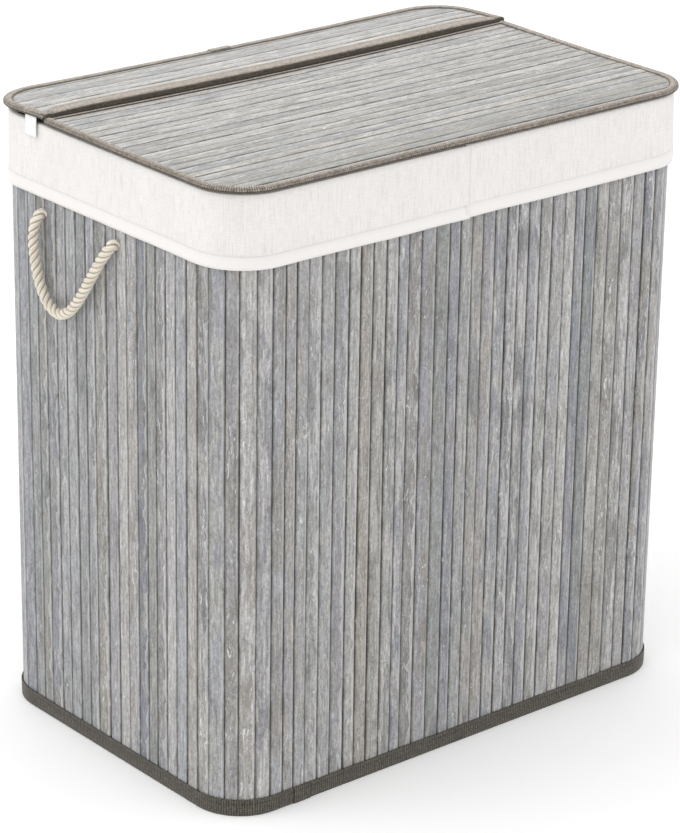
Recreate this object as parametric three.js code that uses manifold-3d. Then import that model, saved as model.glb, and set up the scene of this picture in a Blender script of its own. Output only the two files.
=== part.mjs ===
// Two-bin laundry hamper: a rounded box of upright bamboo slats on cloth, two hanging liner bags
// on a dividing rod, a folding slatted lid and two rope handles.
// Millimetres, +Z up, the front faces -Y, the origin is the middle of the foot.
import * as THREE from "three";
import { mergeVertices } from "three/addons/utils/BufferGeometryUtils.js";
import Module from "manifold-3d";

const wasm = await Module();
wasm.setup();

// Clearances
const touchGap = 0.3; // between pieces that lie on each other
const overrun = 5; // how far a cutting shape runs past what it cuts

// Slatted wall
const bodyWidth = 560; // over the faces of the slats, left to right
const bodyDepth = 370; // front to back
const bodyCornerRadius = 50;
const wallTop = 606; // upper end of the slats
const wallMat = { pitch: 15, slat: 2.6, backing: 0.8, gap: 1.4, shoulder: 0.6 };

// Foot
const footTapeThickness = 0.9;
const footTapeHeight = 17;
const baseClothThickness = 0.8;
const baseBoardThickness = 4;
const baseBoardClearance = 0.6; // round the board

// Rim
const rimTapeThickness = 0.6;
const rimTapeHeight = 15;

// Liner bags
const linerThickness = 1;
const cuffDrop = 70; // from the top of the cuff to its hem
const hemHeight = 12;
const hemExtra = 0.5; // the doubled cloth of the hem
const linerInnerCorner = 8; // radius of the corners beside the divider
const linerShoulderDrop = 42; // the bag draws in from the wall over this height
const linerInset = 24; // how far the bag hangs from the wall below that
const linerBottomInset = 30;
const linerBottomRound = 14;
const flapDrop = 26; // the flap over the rod
const cuffSeamGap = 0.6; // between the two cuffs

// Dividing rod and its sockets
const rodRadius = 5;
const socketWall = 1.6;
const socketDepth = 12;
const socketFloor = 2;
const socketNotchClearance = 1.4; // cloth cut away round a socket

// Lid
const lidOverhang = 5;
const lidCornerRadius = 52;
const lidMat = { pitch: 13.3, slat: 2, backing: 0.6, gap: 1.2, shoulder: 0.5 };
const lidBoardThickness = 1.2;
const lidTapeThickness = 0.5;
const lidTapeWidth = 8;
const lidTapeRound = 0.9; // soft outer edges of the tape
const rearPanelDepth = 100; // from the back edge to the hinge
const rearPanelRise = 6; // the hinge edge stands this much higher than the back edge
const hingeTapeThickness = 0.5;
const hingeTapeWidth = 15;
const hingeTapeEnd = 9; // the tape stops this far from the side edges
const hingeLeafFoot = 2.4; // the leaf's strip on the flap's slats
const tabWidth = 19;
const tabDrop = 15; // below the lid
const tabThickness = 0.8;
const tabBehindHinge = 22; // from the hinge to the tab's middle
const tabReach = 12; // under the lid

// Rope handles
const ropeRadius = 4.75;
const ropeHoleClearance = 0.5;
const handleBackShare = 0.1135; // of the depth, from the middle back to the handle's middle
const ropeKnotRadius = 11;
const ropeKnotLength = 18;
// The rope's centreline: out from the wall, back from the handle's middle, and down from the
// wall's top. Its two ends lie in the holes.
const ropeRoute = [
  [5.2, 56.5, 84],
  [9.0, 59.0, 94],
  [10.2, 60.0, 109],
  [10.0, 58.0, 128],
  [9.4, 52.5, 148],
  [9.0, 42.0, 164],
  [8.8, 26.0, 171.5],
  [8.8, 11.0, 167.5],
  [8.8, -3.0, 156],
  [9.0, -17.0, 139],
  [9.2, -30.0, 121],
  [8.8, -42.0, 104],
  [7.6, -50.5, 92.5],
  [5.2, -56.5, 84],
];

// Facets
const cornerSteps = 8;
const roundSides = 20;
const ropeSides = 10;
const ropeSteps = 30;
const knotSteps = 7;
const flatness = 1e-6; // a bend smaller than this counts as straight

// Levels and offsets worked out from the sizes above
const wallThickness = wallMat.slat + wallMat.backing;
const wallFoot = footTapeThickness + touchGap;
const rimTop = wallTop + touchGap + rimTapeThickness;
const cuffTop = rimTop + touchGap + linerThickness;
const cuffInner = touchGap + rimTapeThickness + touchGap; // outside the slats
const cuffOuter = cuffInner + linerThickness;
const bagOuter = wallThickness + cuffInner; // inside the slats
const baseBoardFoot = baseClothThickness + touchGap;
const bagFoot = baseBoardFoot + baseBoardThickness + touchGap;
const lidFoot = cuffTop + touchGap;
const lidMatThickness = lidMat.slat + lidMat.backing;
const lidContent = lidBoardThickness + touchGap + lidMatThickness;
const lidThickness = lidContent + 2 * (lidTapeThickness + touchGap);
const lidWidth = bodyWidth + 2 * lidOverhang;
const lidDepth = bodyDepth + 2 * lidOverhang;
const hingeY = lidDepth / 2 - rearPanelDepth;
const innerFlapRadius = rodRadius + touchGap; // the left bag's flap lies on the rod
const outerFlapRadius = innerFlapRadius + linerThickness + touchGap; // the right bag's on it
const rodHeight = rimTop - outerFlapRadius - linerThickness - touchGap;
const socketFace = bodyDepth / 2 - wallThickness - rimTapeThickness - 2 * touchGap;
const socketRadius = rodRadius + touchGap + socketWall;
const ropePoints = ropeRoute.map(
  ([out, back, down]) =>
    new THREE.Vector3(-bodyWidth / 2 - out, handleBackShare * bodyDepth + back, wallTop - down),
);
const ropeEnds = [ropePoints[0], ropePoints[ropePoints.length - 1]];

// Solids
function solid(geometry) {
  const bare = geometry.clone();
  bare.deleteAttribute("normal");
  bare.deleteAttribute("uv");
  const merged = mergeVertices(bare);
  const vertProperties = merged.attributes.position.array;
  const triVerts = new Uint32Array(merged.index.array);
  return new wasm.Manifold(new wasm.Mesh({ numProp: 3, vertProperties, triVerts }));
}

function geometryOf(shape) {
  const mesh = shape.getMesh();
  const geometry = new THREE.BufferGeometry();
  geometry.setAttribute("position", new THREE.BufferAttribute(mesh.vertProperties, 3));
  geometry.setIndex(new THREE.BufferAttribute(mesh.triVerts, 1));
  const flat = geometry.toNonIndexed();
  flat.computeVertexNormals();
  return flat;
}

function extruded(shape, low, high) {
  const geometry = new THREE.ExtrudeGeometry(shape, { depth: high - low, bevelEnabled: false });
  return geometry.translate(0, 0, low);
}

// A profile drawn in Y and Z, drawn out along X.
function alongX(shape, low, high) {
  const turn = new THREE.Matrix4().makeBasis(axisY, axisZ, axisX);
  return extruded(shape, low, high).applyMatrix4(turn);
}

// A profile drawn in X and Z, drawn out along Y, the same both ways from the middle.
function alongY(shape, length) {
  const turn = new THREE.Matrix4().makeBasis(axisX, axisZ, axisY.clone().negate());
  return extruded(shape, -length / 2, length / 2).applyMatrix4(turn);
}

const axisX = new THREE.Vector3(1, 0, 0);
const axisY = new THREE.Vector3(0, 1, 0);
const axisZ = new THREE.Vector3(0, 0, 1);

function block(low, high) {
  const size = high.map((value, i) => value - low[i]);
  const middle = high.map((value, i) => (value + low[i]) / 2);
  return solid(new THREE.BoxGeometry(...size).translate(...middle));
}

// Corner points, counter-clockwise from the front left, of a rectangle with its own radius
// at each corner.
function roundedRectangle({ left, right, front, back, radii }) {
  const [frontLeft, frontRight, backRight, backLeft] = radii;
  const corners = [
    [left + frontLeft, front + frontLeft, frontLeft],
    [right - frontRight, front + frontRight, frontRight],
    [right - backRight, back - backRight, backRight],
    [left + backLeft, back - backLeft, backLeft],
  ];
  return corners.flatMap(([x, y, radius], corner) =>
    Array.from({ length: radius > 0 ? cornerSteps + 1 : 1 }, (_, step) => {
      const angle = (corner - 2 + step / cornerSteps) * (Math.PI / 2);
      return new THREE.Vector2(x + radius * Math.cos(angle), y + radius * Math.sin(angle));
    }),
  );
}

function plate(outline, low, high) {
  return solid(extruded(new THREE.Shape(outline), low, high));
}

// A solid through outlines with equal numbers of points at rising heights.
function loft(rings) {
  const count = rings[0].outline.length;
  const positions = rings.flatMap(({ outline, z }) => outline.flatMap((p) => [p.x, p.y, z]));
  const faces = [];
  for (let ring = 0; ring + 1 < rings.length; ring++) {
    for (let i = 0; i < count; i++) {
      const next = (i + 1) % count;
      const low = ring * count;
      const high = low + count;
      faces.push(low + i, low + next, high + next, low + i, high + next, high + i);
    }
  }
  const top = (rings.length - 1) * count;
  for (let i = 1; i + 1 < count; i++) {
    faces.push(0, i + 1, i, top, top + i, top + i + 1);
  }
  const geometry = new THREE.BufferGeometry();
  geometry.setAttribute("position", new THREE.Float32BufferAttribute(positions, 3));
  geometry.setIndex(faces);
  return solid(geometry);
}

// The hamper's outline, moved out from the slats' faces by an offset, or in by a negative one.
function bodyOutline(offset) {
  const radius = bodyCornerRadius + offset;
  return roundedRectangle({
    left: -bodyWidth / 2 - offset,
    right: bodyWidth / 2 + offset,
    front: -bodyDepth / 2 - offset,
    back: bodyDepth / 2 + offset,
    radii: [radius, radius, radius, radius],
  });
}

// A ring between two offsets of the hamper's outline.
function band(inner, outer, low, high) {
  const shape = new THREE.Shape(bodyOutline(outer));
  shape.holes.push(new THREE.Path(bodyOutline(inner)));
  return solid(extruded(shape, low, high));
}

// Slat mats
// at(s, depth) gives the point that lies s along the mat and depth below its face. Slats with
// rounded shoulders stand on a sheet of backing cloth, whose far face passes through backStations.
function matShape(mat, pitch, at, first, last, backStations) {
  const points = [at(first * pitch + touchGap / 2, mat.slat)];
  for (let i = first; i < last; i++) {
    const start = i * pitch + mat.gap / 2;
    const end = (i + 1) * pitch - mat.gap / 2;
    points.push(at(start, mat.slat));
    points.push(at(start, mat.shoulder));
    points.push(at(start + mat.shoulder, 0));
    points.push(at(end - mat.shoulder, 0));
    points.push(at(end, mat.shoulder));
    points.push(at(end, mat.slat));
  }
  points.push(at(last * pitch - touchGap / 2, mat.slat));
  const back = [first * pitch + touchGap / 2, ...backStations, last * pitch - touchGap / 2];
  for (const s of back.reverse()) {
    points.push(at(s, mat.slat + mat.backing));
  }
  return new THREE.Shape(points);
}

// Slatted wall
const straightX = bodyWidth - 2 * bodyCornerRadius;
const straightY = bodyDepth - 2 * bodyCornerRadius;
const cornerArc = (bodyCornerRadius * Math.PI) / 2;
const quarterLength = (straightX + straightY) / 2 + cornerArc;
const quarterSlats = Math.round(quarterLength / wallMat.pitch);
const wallPitch = quarterLength / quarterSlats;
const seamSlat = Math.ceil((straightX / 2 + cornerArc) / wallPitch);

// The point that lies s round the hamper from the middle of the front, towards +X, and depth
// below the slats' faces.
function alongWall(s, depth) {
  const corners = [
    [straightX / 2, -straightY / 2, straightX],
    [straightX / 2, straightY / 2, straightY],
    [-straightX / 2, straightY / 2, straightX],
    [-straightX / 2, -straightY / 2, straightY],
  ];
  const reach = bodyCornerRadius - depth;
  let rest = (s + straightX / 2 + 4 * quarterLength) % (4 * quarterLength);
  for (const [side, [x, y, straight]] of corners.entries()) {
    const outward = (side - 1) * (Math.PI / 2);
    if (rest <= straight) {
      const back = straight - rest;
      return new THREE.Vector2(
        x + reach * Math.cos(outward) + back * Math.sin(outward),
        y + reach * Math.sin(outward) - back * Math.cos(outward),
      );
    }
    rest -= straight;
    if (rest < cornerArc || side === corners.length - 1) {
      const angle = outward + rest / bodyCornerRadius;
      return new THREE.Vector2(x + reach * Math.cos(angle), y + reach * Math.sin(angle));
    }
    rest -= cornerArc;
  }
}

function wall(first, last) {
  const stations = [];
  const half = wallPitch / 2;
  for (let i = 2 * first + 1; i < 2 * last; i++) {
    const s = i * half;
    const [before, here, after] = [s - half, s, s + half].map((t) => alongWall(t, 0));
    const bend = before.distanceTo(here) + here.distanceTo(after) - before.distanceTo(after);
    if (bend > flatness) {
      stations.push(s);
    }
  }
  const shape = matShape(wallMat, wallPitch, alongWall, first, last, stations);
  return solid(extruded(shape, wallFoot, wallTop));
}

// A side wall has two holes for its rope handle.
function sideWall(first, last, side) {
  const radius = ropeRadius + ropeHoleClearance;
  const length = wallThickness + 2 * overrun;
  return ropeEnds.reduce((mat, { y, z }) => {
    const drill = new THREE.CylinderGeometry(radius, radius, length, roundSides);
    drill.rotateZ(Math.PI / 2).translate((side * (bodyWidth - wallThickness)) / 2, y, z);
    return mat.subtract(solid(drill));
  }, wall(first, last));
}

// Foot and rim
function footTape() {
  const inner = -wallThickness - touchGap - footTapeThickness;
  const tape = band(inner, touchGap + footTapeThickness, 0, footTapeHeight);
  const channel = band(
    -wallThickness - touchGap, touchGap, footTapeThickness, footTapeHeight + overrun,
  );
  return tape.subtract(channel);
}

const baseInner = -wallThickness - touchGap - footTapeThickness - touchGap;

function baseCloth() {
  return plate(bodyOutline(baseInner), 0, baseClothThickness);
}

function baseBoard() {
  const outline = bodyOutline(baseInner - baseBoardClearance);
  return plate(outline, baseBoardFoot, baseBoardFoot + baseBoardThickness);
}

function rimTape() {
  const inner = -wallThickness - touchGap - rimTapeThickness;
  const tape = band(inner, touchGap + rimTapeThickness, rimTop - rimTapeHeight, rimTop);
  const low = rimTop - rimTapeHeight - overrun;
  return tape.subtract(band(-wallThickness - touchGap, touchGap, low, wallTop + touchGap));
}

// Liner bags, drawn for the left bin and mirrored for the right one
// inset is the distance from the wall side, grow the cloth thickness taken off all round.
function bagOutline(dividerFace, inset, grow) {
  const side = bagOuter + inset + grow;
  const outer = bodyCornerRadius - bagOuter - grow;
  const inner = linerInnerCorner - grow;
  return roundedRectangle({
    left: -bodyWidth / 2 + side,
    right: -dividerFace - grow,
    front: -bodyDepth / 2 + side,
    back: bodyDepth / 2 - side,
    radii: [outer, inner, inner, outer],
  });
}

function bagLoft(dividerFace, grow, low, high) {
  const shoulder = cuffTop - rimTapeHeight;
  const steps = [
    [low, linerBottomInset],
    [low + linerBottomRound, (linerBottomInset + linerInset) / 2],
    [shoulder - linerShoulderDrop, linerInset],
    [shoulder - linerShoulderDrop / 2, linerInset / 2],
    [shoulder, 0],
    [high, 0],
  ];
  return loft(steps.map(([z, inset]) => ({ outline: bagOutline(dividerFace, inset, grow), z })));
}

// The flap that holds the bag on the rod: up over it in a half circle and down on the far side.
function rodFlap(radius, length) {
  const outer = radius + linerThickness;
  const shape = new THREE.Shape();
  shape.moveTo(-radius, 0);
  shape.absarc(0, 0, radius, Math.PI, 0, true);
  shape.lineTo(radius, -flapDrop);
  shape.lineTo(outer, -flapDrop);
  shape.lineTo(outer, 0);
  shape.absarc(0, 0, outer, 0, Math.PI, false);
  shape.lineTo(-outer, -linerThickness);
  shape.lineTo(-radius, -linerThickness);
  const points = shape.extractPoints(roundSides / 2).shape;
  return solid(alongY(new THREE.Shape(points), length).translate(0, 0, rodHeight));
}

// The flaps end short of the bags' rounded corners.
const flapHalf = socketFace - linerInset - linerInnerCorner;

function liner(flapRadius) {
  const bag = bagLoft(flapRadius, 0, bagFoot, cuffTop).subtract(
    bagLoft(flapRadius, linerThickness, bagFoot + linerThickness, cuffTop + overrun),
  );
  const hem = cuffTop - cuffDrop;
  const cuff = band(cuffInner, cuffOuter, hem, cuffTop)
    .add(band(cuffInner, cuffOuter + hemExtra, hem, hem + hemHeight))
    .add(band(-bagOuter - linerThickness, cuffOuter, rimTop + touchGap, cuffTop));
  const far = bodyWidth / 2 + overrun + cuffOuter;
  const half = block([-far, -far, 0], [-cuffSeamGap / 2, far, cuffTop + overrun]);
  const notch = socketRadius + socketNotchClearance;
  const open = socketFace - socketDepth - socketNotchClearance;
  const face = flapRadius + linerThickness;
  const clear = [1, -1].map((side) =>
    block(
      [-notch, Math.min(side * open, side * bodyDepth), rodHeight - notch],
      [notch, Math.max(side * open, side * bodyDepth), rimTop + touchGap / 2],
    ),
  );
  const aboveRod = block(
    [-face - touchGap / 2, -open - overrun, rodHeight],
    [overrun, open + overrun, cuffTop + overrun],
  );
  return bag
    .subtract(aboveRod)
    .subtract(clear[0])
    .subtract(clear[1])
    .add(cuff.intersect(half))
    .add(rodFlap(flapRadius, 2 * flapHalf));
}

// Divider
function rod() {
  const length = 2 * (socketFace - socketFloor - touchGap);
  const bar = new THREE.CylinderGeometry(rodRadius, rodRadius, length, roundSides);
  return solid(bar);
}

function rodSocket() {
  const bore = rodRadius + touchGap;
  const profile = [
    [0, 0],
    [socketRadius, 0],
    [socketRadius, socketDepth],
    [bore, socketDepth],
    [bore, socketFloor],
    [0, socketFloor],
    [0, 0],
  ].map(([x, y]) => new THREE.Vector2(x, y));
  return solid(new THREE.LatheGeometry(profile, roundSides));
}

// Lid
// One panel's outline, drawn in from the three bound edges by an inset. The hinge edge is square.
function panelOutline(panel, inset, hingeEdge) {
  const radius = lidCornerRadius - inset;
  const left = -lidWidth / 2 + inset;
  const edge = lidDepth / 2 - inset;
  return panel === "flap"
    ? roundedRectangle({
        left, right: -left, front: -edge, back: hingeEdge, radii: [radius, radius, 0, 0],
      })
    : roundedRectangle({
        left, right: -left, front: hingeEdge, back: edge, radii: [0, 0, radius, radius],
      });
}

// The tape is a folded strip round the three free edges.
function panelTape(panel, hingeEdge) {
  const past = panel === "flap" ? hingeEdge + overrun : hingeEdge - overrun;
  const ring = (inset, z, edge) => ({ outline: panelOutline(panel, inset, edge), z });
  const whole = loft([
    ring(lidTapeRound, 0, hingeEdge),
    ring(0, lidTapeRound, hingeEdge),
    ring(0, lidThickness - lidTapeRound, hingeEdge),
    ring(lidTapeRound, lidThickness, hingeEdge),
  ]);
  const channel = plate(
    panelOutline(panel, lidTapeThickness, past), lidTapeThickness, lidThickness - lidTapeThickness,
  );
  const middle = plate(panelOutline(panel, lidTapeWidth, past), -overrun, lidThickness + overrun);
  return whole.subtract(channel).subtract(middle);
}

const lidInset = lidTapeThickness + touchGap;

function panelBoard(panel, hingeEdge) {
  const outline = panelOutline(panel, lidInset, hingeEdge);
  return plate(outline, lidInset, lidInset + lidBoardThickness);
}

function panelSlats(panel, hingeEdge) {
  const front = panel === "flap" ? -lidDepth / 2 + lidInset : hingeEdge;
  const back = panel === "flap" ? hingeEdge : lidDepth / 2 - lidInset;
  const count = Math.round((back - front) / lidMat.pitch);
  const top = lidThickness - lidInset;
  const at = (s, depth) => new THREE.Vector2(front + s, top - depth);
  const shape = matShape(lidMat, (back - front) / count, at, 0, count, []);
  const half = lidWidth / 2;
  const outline = panelOutline(panel, lidInset, hingeEdge);
  return solid(alongX(shape, -half, half)).intersect(plate(outline, 0, lidThickness));
}

const hingeLength = lidWidth - 2 * hingeTapeEnd;

// The tape is folded round the hinge edge of the rear panel, between its bound sides.
function hingeTape() {
  const low = [-hingeLength / 2, hingeY, 0];
  const high = [hingeLength / 2, hingeY + hingeTapeWidth, lidThickness];
  const inside = hingeTapeThickness;
  const pocket = block(
    [-lidWidth, hingeY + inside, inside],
    [lidWidth, hingeY + hingeTapeWidth + overrun, lidThickness - inside],
  );
  return block(low, high).subtract(pocket);
}

// The leaf stands against the hinge edge, from its strip on the flap's slats to the hinge line.
function hingeLeaf() {
  const half = hingeLength / 2;
  const foot = lidThickness - lidInset + touchGap;
  const front = hingeY - touchGap - hingeTapeThickness;
  const upright = block(
    [-half, front, foot],
    [half, hingeY - touchGap, lidThickness + rearPanelRise - touchGap],
  );
  const strip = block(
    [-half, front - hingeLeafFoot, foot], [half, hingeY - touchGap, foot + hingeTapeThickness],
  );
  return upright.add(strip);
}

// A cloth tab is sewn under the rear panel and hangs over the cuff.
function lidTab() {
  const outer = bodyWidth / 2 + cuffOuter + 2 * touchGap + tabThickness;
  const shape = new THREE.Shape([
    new THREE.Vector2(-outer, -tabDrop),
    new THREE.Vector2(-outer + tabThickness, -tabDrop),
    new THREE.Vector2(-outer + tabThickness, -touchGap - tabThickness),
    new THREE.Vector2(-outer + tabReach, -touchGap - tabThickness),
    new THREE.Vector2(-outer + tabReach, -touchGap),
    new THREE.Vector2(-outer, -touchGap),
  ]);
  return solid(alongY(shape, tabWidth).translate(0, hingeY + tabBehindHinge, 0));
}

// Rope handles
function ropeHandle() {
  const route = new THREE.CatmullRomCurve3(ropePoints, false, "centripetal");
  const section = new THREE.Shape();
  section.absarc(0, 0, ropeRadius, 0, 2 * Math.PI, false);
  const settings = { steps: ropeSteps, curveSegments: ropeSides, extrudePath: route };
  const tube = solid(new THREE.ExtrudeGeometry(section, settings));
  return ropeEnds.reduce((rope, end) => {
    const ball = new THREE.SphereGeometry(ropeRadius, ropeSides, ropeSides / 2);
    return rope.add(solid(ball.translate(end.x, end.y, end.z)));
  }, tube);
}

// The rope's end fills its hole and is knotted behind the wall.
function ropeKnot() {
  const start = wallThickness + touchGap;
  const profile = [new THREE.Vector2(0, 0), new THREE.Vector2(ropeRadius, 0)];
  for (let i = 0; i <= knotSteps; i++) {
    const angle = (Math.PI * i) / knotSteps;
    const swell = (ropeKnotRadius - ropeRadius) * Math.sin(angle);
    const along = start + (ropeKnotLength * (1 - Math.cos(angle))) / 2;
    profile.push(new THREE.Vector2(ropeRadius + swell, along));
  }
  profile.push(new THREE.Vector2(0, start + ropeKnotLength));
  return solid(new THREE.LatheGeometry(profile, roundSides / 2));
}

// Colours and finishes
const finish = (color, roughness) => ({ color, roughness, metalness: 0 });
const bamboo = finish(0x9b9a96, 0.6);
const paleBamboo = finish(0xb5b4af, 0.6);
const tape = finish(0x6d645a, 0.9);
const cotton = finish(0xefeceb, 0.95);
const white = finish(0xfafafa, 0.9);
const board = finish(0xa9977c, 0.85);
const felt = finish(0x57524c, 0.95);
const rope = finish(0xd9cdb8, 0.9);
const beech = finish(0xc9a878, 0.55);
const plastic = finish(0x2f2d2b, 0.5);

const hamper = new THREE.Group();

function addPiece(name, shape, look, parent = hamper) {
  const mesh = new THREE.Mesh(geometryOf(shape), new THREE.MeshStandardMaterial(look));
  mesh.name = name;
  parent.add(mesh);
  return mesh;
}

// Wall, foot and rim
addPiece("wall_front", wall(-seamSlat, seamSlat), bamboo);
addPiece("wall_right", sideWall(seamSlat, 2 * quarterSlats - seamSlat, 1), bamboo);
addPiece("wall_back", wall(2 * quarterSlats - seamSlat, 2 * quarterSlats + seamSlat), bamboo);
addPiece("wall_left", sideWall(2 * quarterSlats + seamSlat, 4 * quarterSlats - seamSlat, -1), bamboo);
addPiece("foot_tape", footTape(), tape);
addPiece("base_cloth", baseCloth(), felt);
addPiece("base_board", baseBoard(), board);
addPiece("rim_tape", rimTape(), tape);

// Bins
addPiece("liner_left", liner(innerFlapRadius), cotton);
addPiece("liner_right", liner(outerFlapRadius).mirror([1, 0, 0]), cotton);
addPiece("divider_rod", rod(), beech).position.z = rodHeight;
for (const [name, side] of [["front", -1], ["back", 1]]) {
  const socket = addPiece(`rod_socket_${name}`, rodSocket(), plastic);
  socket.position.set(0, side * socketFace, rodHeight);
  socket.rotation.z = side > 0 ? Math.PI : 0;
}

// Lid: the flap lies flat, the rear panel leans up to the hinge from its back edge
const flap = new THREE.Group();
flap.position.z = lidFoot;
const flapEdge = hingeY - 2 * touchGap - hingeTapeThickness;
addPiece("flap_tape", panelTape("flap", flapEdge), tape, flap);
addPiece("flap_board", panelBoard("flap", flapEdge), board, flap);
addPiece("flap_slats", panelSlats("flap", flapEdge), paleBamboo, flap);
addPiece("hinge_leaf", hingeLeaf(), tape, flap);
hamper.add(flap);

const rearPanel = new THREE.Group();
rearPanel.position.set(0, lidDepth / 2, lidFoot);
rearPanel.rotation.x = -Math.asin(rearPanelRise / rearPanelDepth);
const rearFrame = new THREE.Group();
rearFrame.position.y = -lidDepth / 2;
rearPanel.add(rearFrame);
const rearEdge = hingeY + hingeTapeThickness + touchGap;
addPiece("rear_tape", panelTape("rear", hingeY), tape, rearFrame);
addPiece("rear_board", panelBoard("rear", rearEdge), board, rearFrame);
addPiece("rear_slats", panelSlats("rear", rearEdge), paleBamboo, rearFrame);
addPiece("hinge_tape", hingeTape(), tape, rearFrame);
addPiece("tab_left", lidTab(), white, rearFrame);
addPiece("tab_right", lidTab().mirror([1, 0, 0]), white, rearFrame);
hamper.add(rearPanel);

// Handles
addPiece("handle_left", ropeHandle(), rope);
addPiece("handle_right", ropeHandle().mirror([1, 0, 0]), rope);
for (const [side, sign] of [["left", -1], ["right", 1]]) {
  for (const [end, place] of ["back", "front"].entries()) {
    const knot = addPiece(`knot_${side}_${place}`, ropeKnot(), rope);
    knot.position.set((sign * bodyWidth) / 2, ropeEnds[end].y, ropeEnds[end].z);
    knot.rotation.z = (sign * Math.PI) / 2;
  }
}

export default hamper;
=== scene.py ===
"""Looks of a two-bin laundry hamper: bamboo slats on cloth, woven bindings, hanging cotton
liners, a folding lid and twisted rope handles, on a pale floor in soft studio light.
Metres, +Z up, the front faces -Y, the same place as the part that it dresses."""

import math
import random

import bmesh
import bpy
from bpy.props import FloatProperty, FloatVectorProperty, IntProperty, PointerProperty
from mathutils import Matrix, Vector, noise
from mathutils.geometry import interpolate_bezier


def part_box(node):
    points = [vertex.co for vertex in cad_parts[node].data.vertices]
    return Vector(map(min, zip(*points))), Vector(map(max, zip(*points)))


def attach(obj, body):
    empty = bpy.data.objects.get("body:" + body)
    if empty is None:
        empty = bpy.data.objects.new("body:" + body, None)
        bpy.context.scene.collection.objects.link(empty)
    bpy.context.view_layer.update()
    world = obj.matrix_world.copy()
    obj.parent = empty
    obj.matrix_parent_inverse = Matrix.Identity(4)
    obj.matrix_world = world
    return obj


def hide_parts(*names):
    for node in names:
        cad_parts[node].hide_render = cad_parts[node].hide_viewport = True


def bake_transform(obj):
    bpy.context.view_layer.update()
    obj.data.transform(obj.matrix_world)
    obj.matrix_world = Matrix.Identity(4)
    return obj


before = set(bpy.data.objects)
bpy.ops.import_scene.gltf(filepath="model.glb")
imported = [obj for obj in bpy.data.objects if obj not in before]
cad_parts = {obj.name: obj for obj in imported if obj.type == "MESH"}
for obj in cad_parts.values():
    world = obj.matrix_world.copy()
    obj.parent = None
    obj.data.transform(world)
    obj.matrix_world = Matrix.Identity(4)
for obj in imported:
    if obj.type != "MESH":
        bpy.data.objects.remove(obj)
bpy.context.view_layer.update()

bl_info = {
    "name": "Two-bin laundry hamper",
    "version": (1, 0, 0),
    "blender": (4, 5, 0),
    "location": "View3D > Sidebar > Hamper",
    "description": "Slats, bindings, liners, lid and rope handles of a laundry hamper",
    "category": "Object",
}

MM = 0.001

# The rope's centreline in millimetres: out from the wall, back from the handle's middle, and
# down from the wall's top. Its two ends lie in the holes.
ROPE_ROUTE = [
    (5.2, 56.5, 84), (9.0, 59.0, 94), (10.2, 60.0, 109), (10.0, 58.0, 128), (9.4, 52.5, 148),
    (9.0, 42.0, 164), (8.8, 26.0, 171.5), (8.8, 11.0, 167.5), (8.8, -3.0, 156), (9.0, -17.0, 139),
    (9.2, -30.0, 121), (8.8, -42.0, 104), (7.6, -50.5, 92.5), (5.2, -56.5, 84),
]


# Colours and materials


def linear(code):
    """The linear colour of an sRGB hex code."""
    channels = [int(code[i : i + 2], 16) / 255 for i in (1, 3, 5)]
    return [c / 12.92 if c <= 0.04045 else ((c + 0.055) / 1.055) ** 2.4 for c in channels]


def put(tree, kind, inputs=None, **settings):
    """Adds a node with its settings, and sets or links its inputs."""
    node = tree.nodes.new(kind)
    for name, value in settings.items():
        setattr(node, name, value)
    for key, value in (inputs or {}).items():
        if isinstance(value, bpy.types.NodeSocket):
            tree.links.new(value, node.inputs[key])
        else:
            node.inputs[key].default_value = value
    return node


def ramp(tree, factor, stops, interpolation="LINEAR"):
    """A colour ramp through (position, colour or grey) stops."""
    node = put(tree, "ShaderNodeValToRGB", {"Fac": factor})
    node.color_ramp.interpolation = interpolation
    elements = node.color_ramp.elements
    while len(elements) < len(stops):
        elements.new(0.5)
    for element, (position, colour) in zip(elements, stops):
        element.position = position
        element.color = (*(colour if hasattr(colour, "__len__") else [colour] * 3), 1)
    return node.outputs["Color"]


def per(size_mm):
    """How many features of a real size fit in a metre."""
    return 1000 / size_mm


def bands(size_mm):
    """The scale at which a wave texture repeats every so many millimetres."""
    return 1000 * math.pi / 10 / size_mm


def new_material(name):
    """An empty node material and its shader."""
    material = bpy.data.materials.new(name)
    material.use_nodes = True
    tree = material.node_tree
    tree.nodes.clear()
    shader = put(tree, "ShaderNodeBsdfPrincipled")
    put(tree, "ShaderNodeOutputMaterial", {"Surface": shader.outputs["BSDF"]})
    return material, tree, shader


def bump(tree, shader, height, strength, distance_mm):
    """Raises the surface by a pattern."""
    node = put(
        tree,
        "ShaderNodeBump",
        {"Height": height, "Strength": strength, "Distance": distance_mm * MM},
    )
    tree.links.new(node.outputs["Normal"], shader.inputs["Normal"])


def streaks(tree, across_mm, along_mm, detail=3.0, distortion=0.0, name="grain", roughness=0.6):
    """A noise stretched along the slat or thread, from 0 to 1."""
    place = put(tree, "ShaderNodeAttribute", attribute_name=name)
    scaled = put(
        tree,
        "ShaderNodeMapping",
        {"Vector": place.outputs["Vector"], "Scale": (per(across_mm), per(along_mm), 1)},
    )
    return put(
        tree,
        "ShaderNodeTexNoise",
        {
            "Vector": scaled.outputs["Vector"],
            "Scale": 1.0,
            "Detail": detail,
            "Roughness": roughness,
            "Distortion": distortion,
        },
    ).outputs["Fac"]


def mix(tree, factor, below, above, blend="MIX"):
    """One colour over another."""
    node = put(tree, "ShaderNodeMix", data_type="RGBA", blend_type=blend)
    for key, value in ((0, factor), (6, below), (7, above)):
        if isinstance(value, bpy.types.NodeSocket):
            tree.links.new(value, node.inputs[key])
        elif key == 0:
            node.inputs[0].default_value = value
        else:
            node.inputs[key].default_value = (*value, 1)
    return node.outputs[2]


def number(tree, operation, *values):
    """Arithmetic on numbers."""
    return put(tree, "ShaderNodeMath", dict(enumerate(values)), operation=operation).outputs[0]


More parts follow.
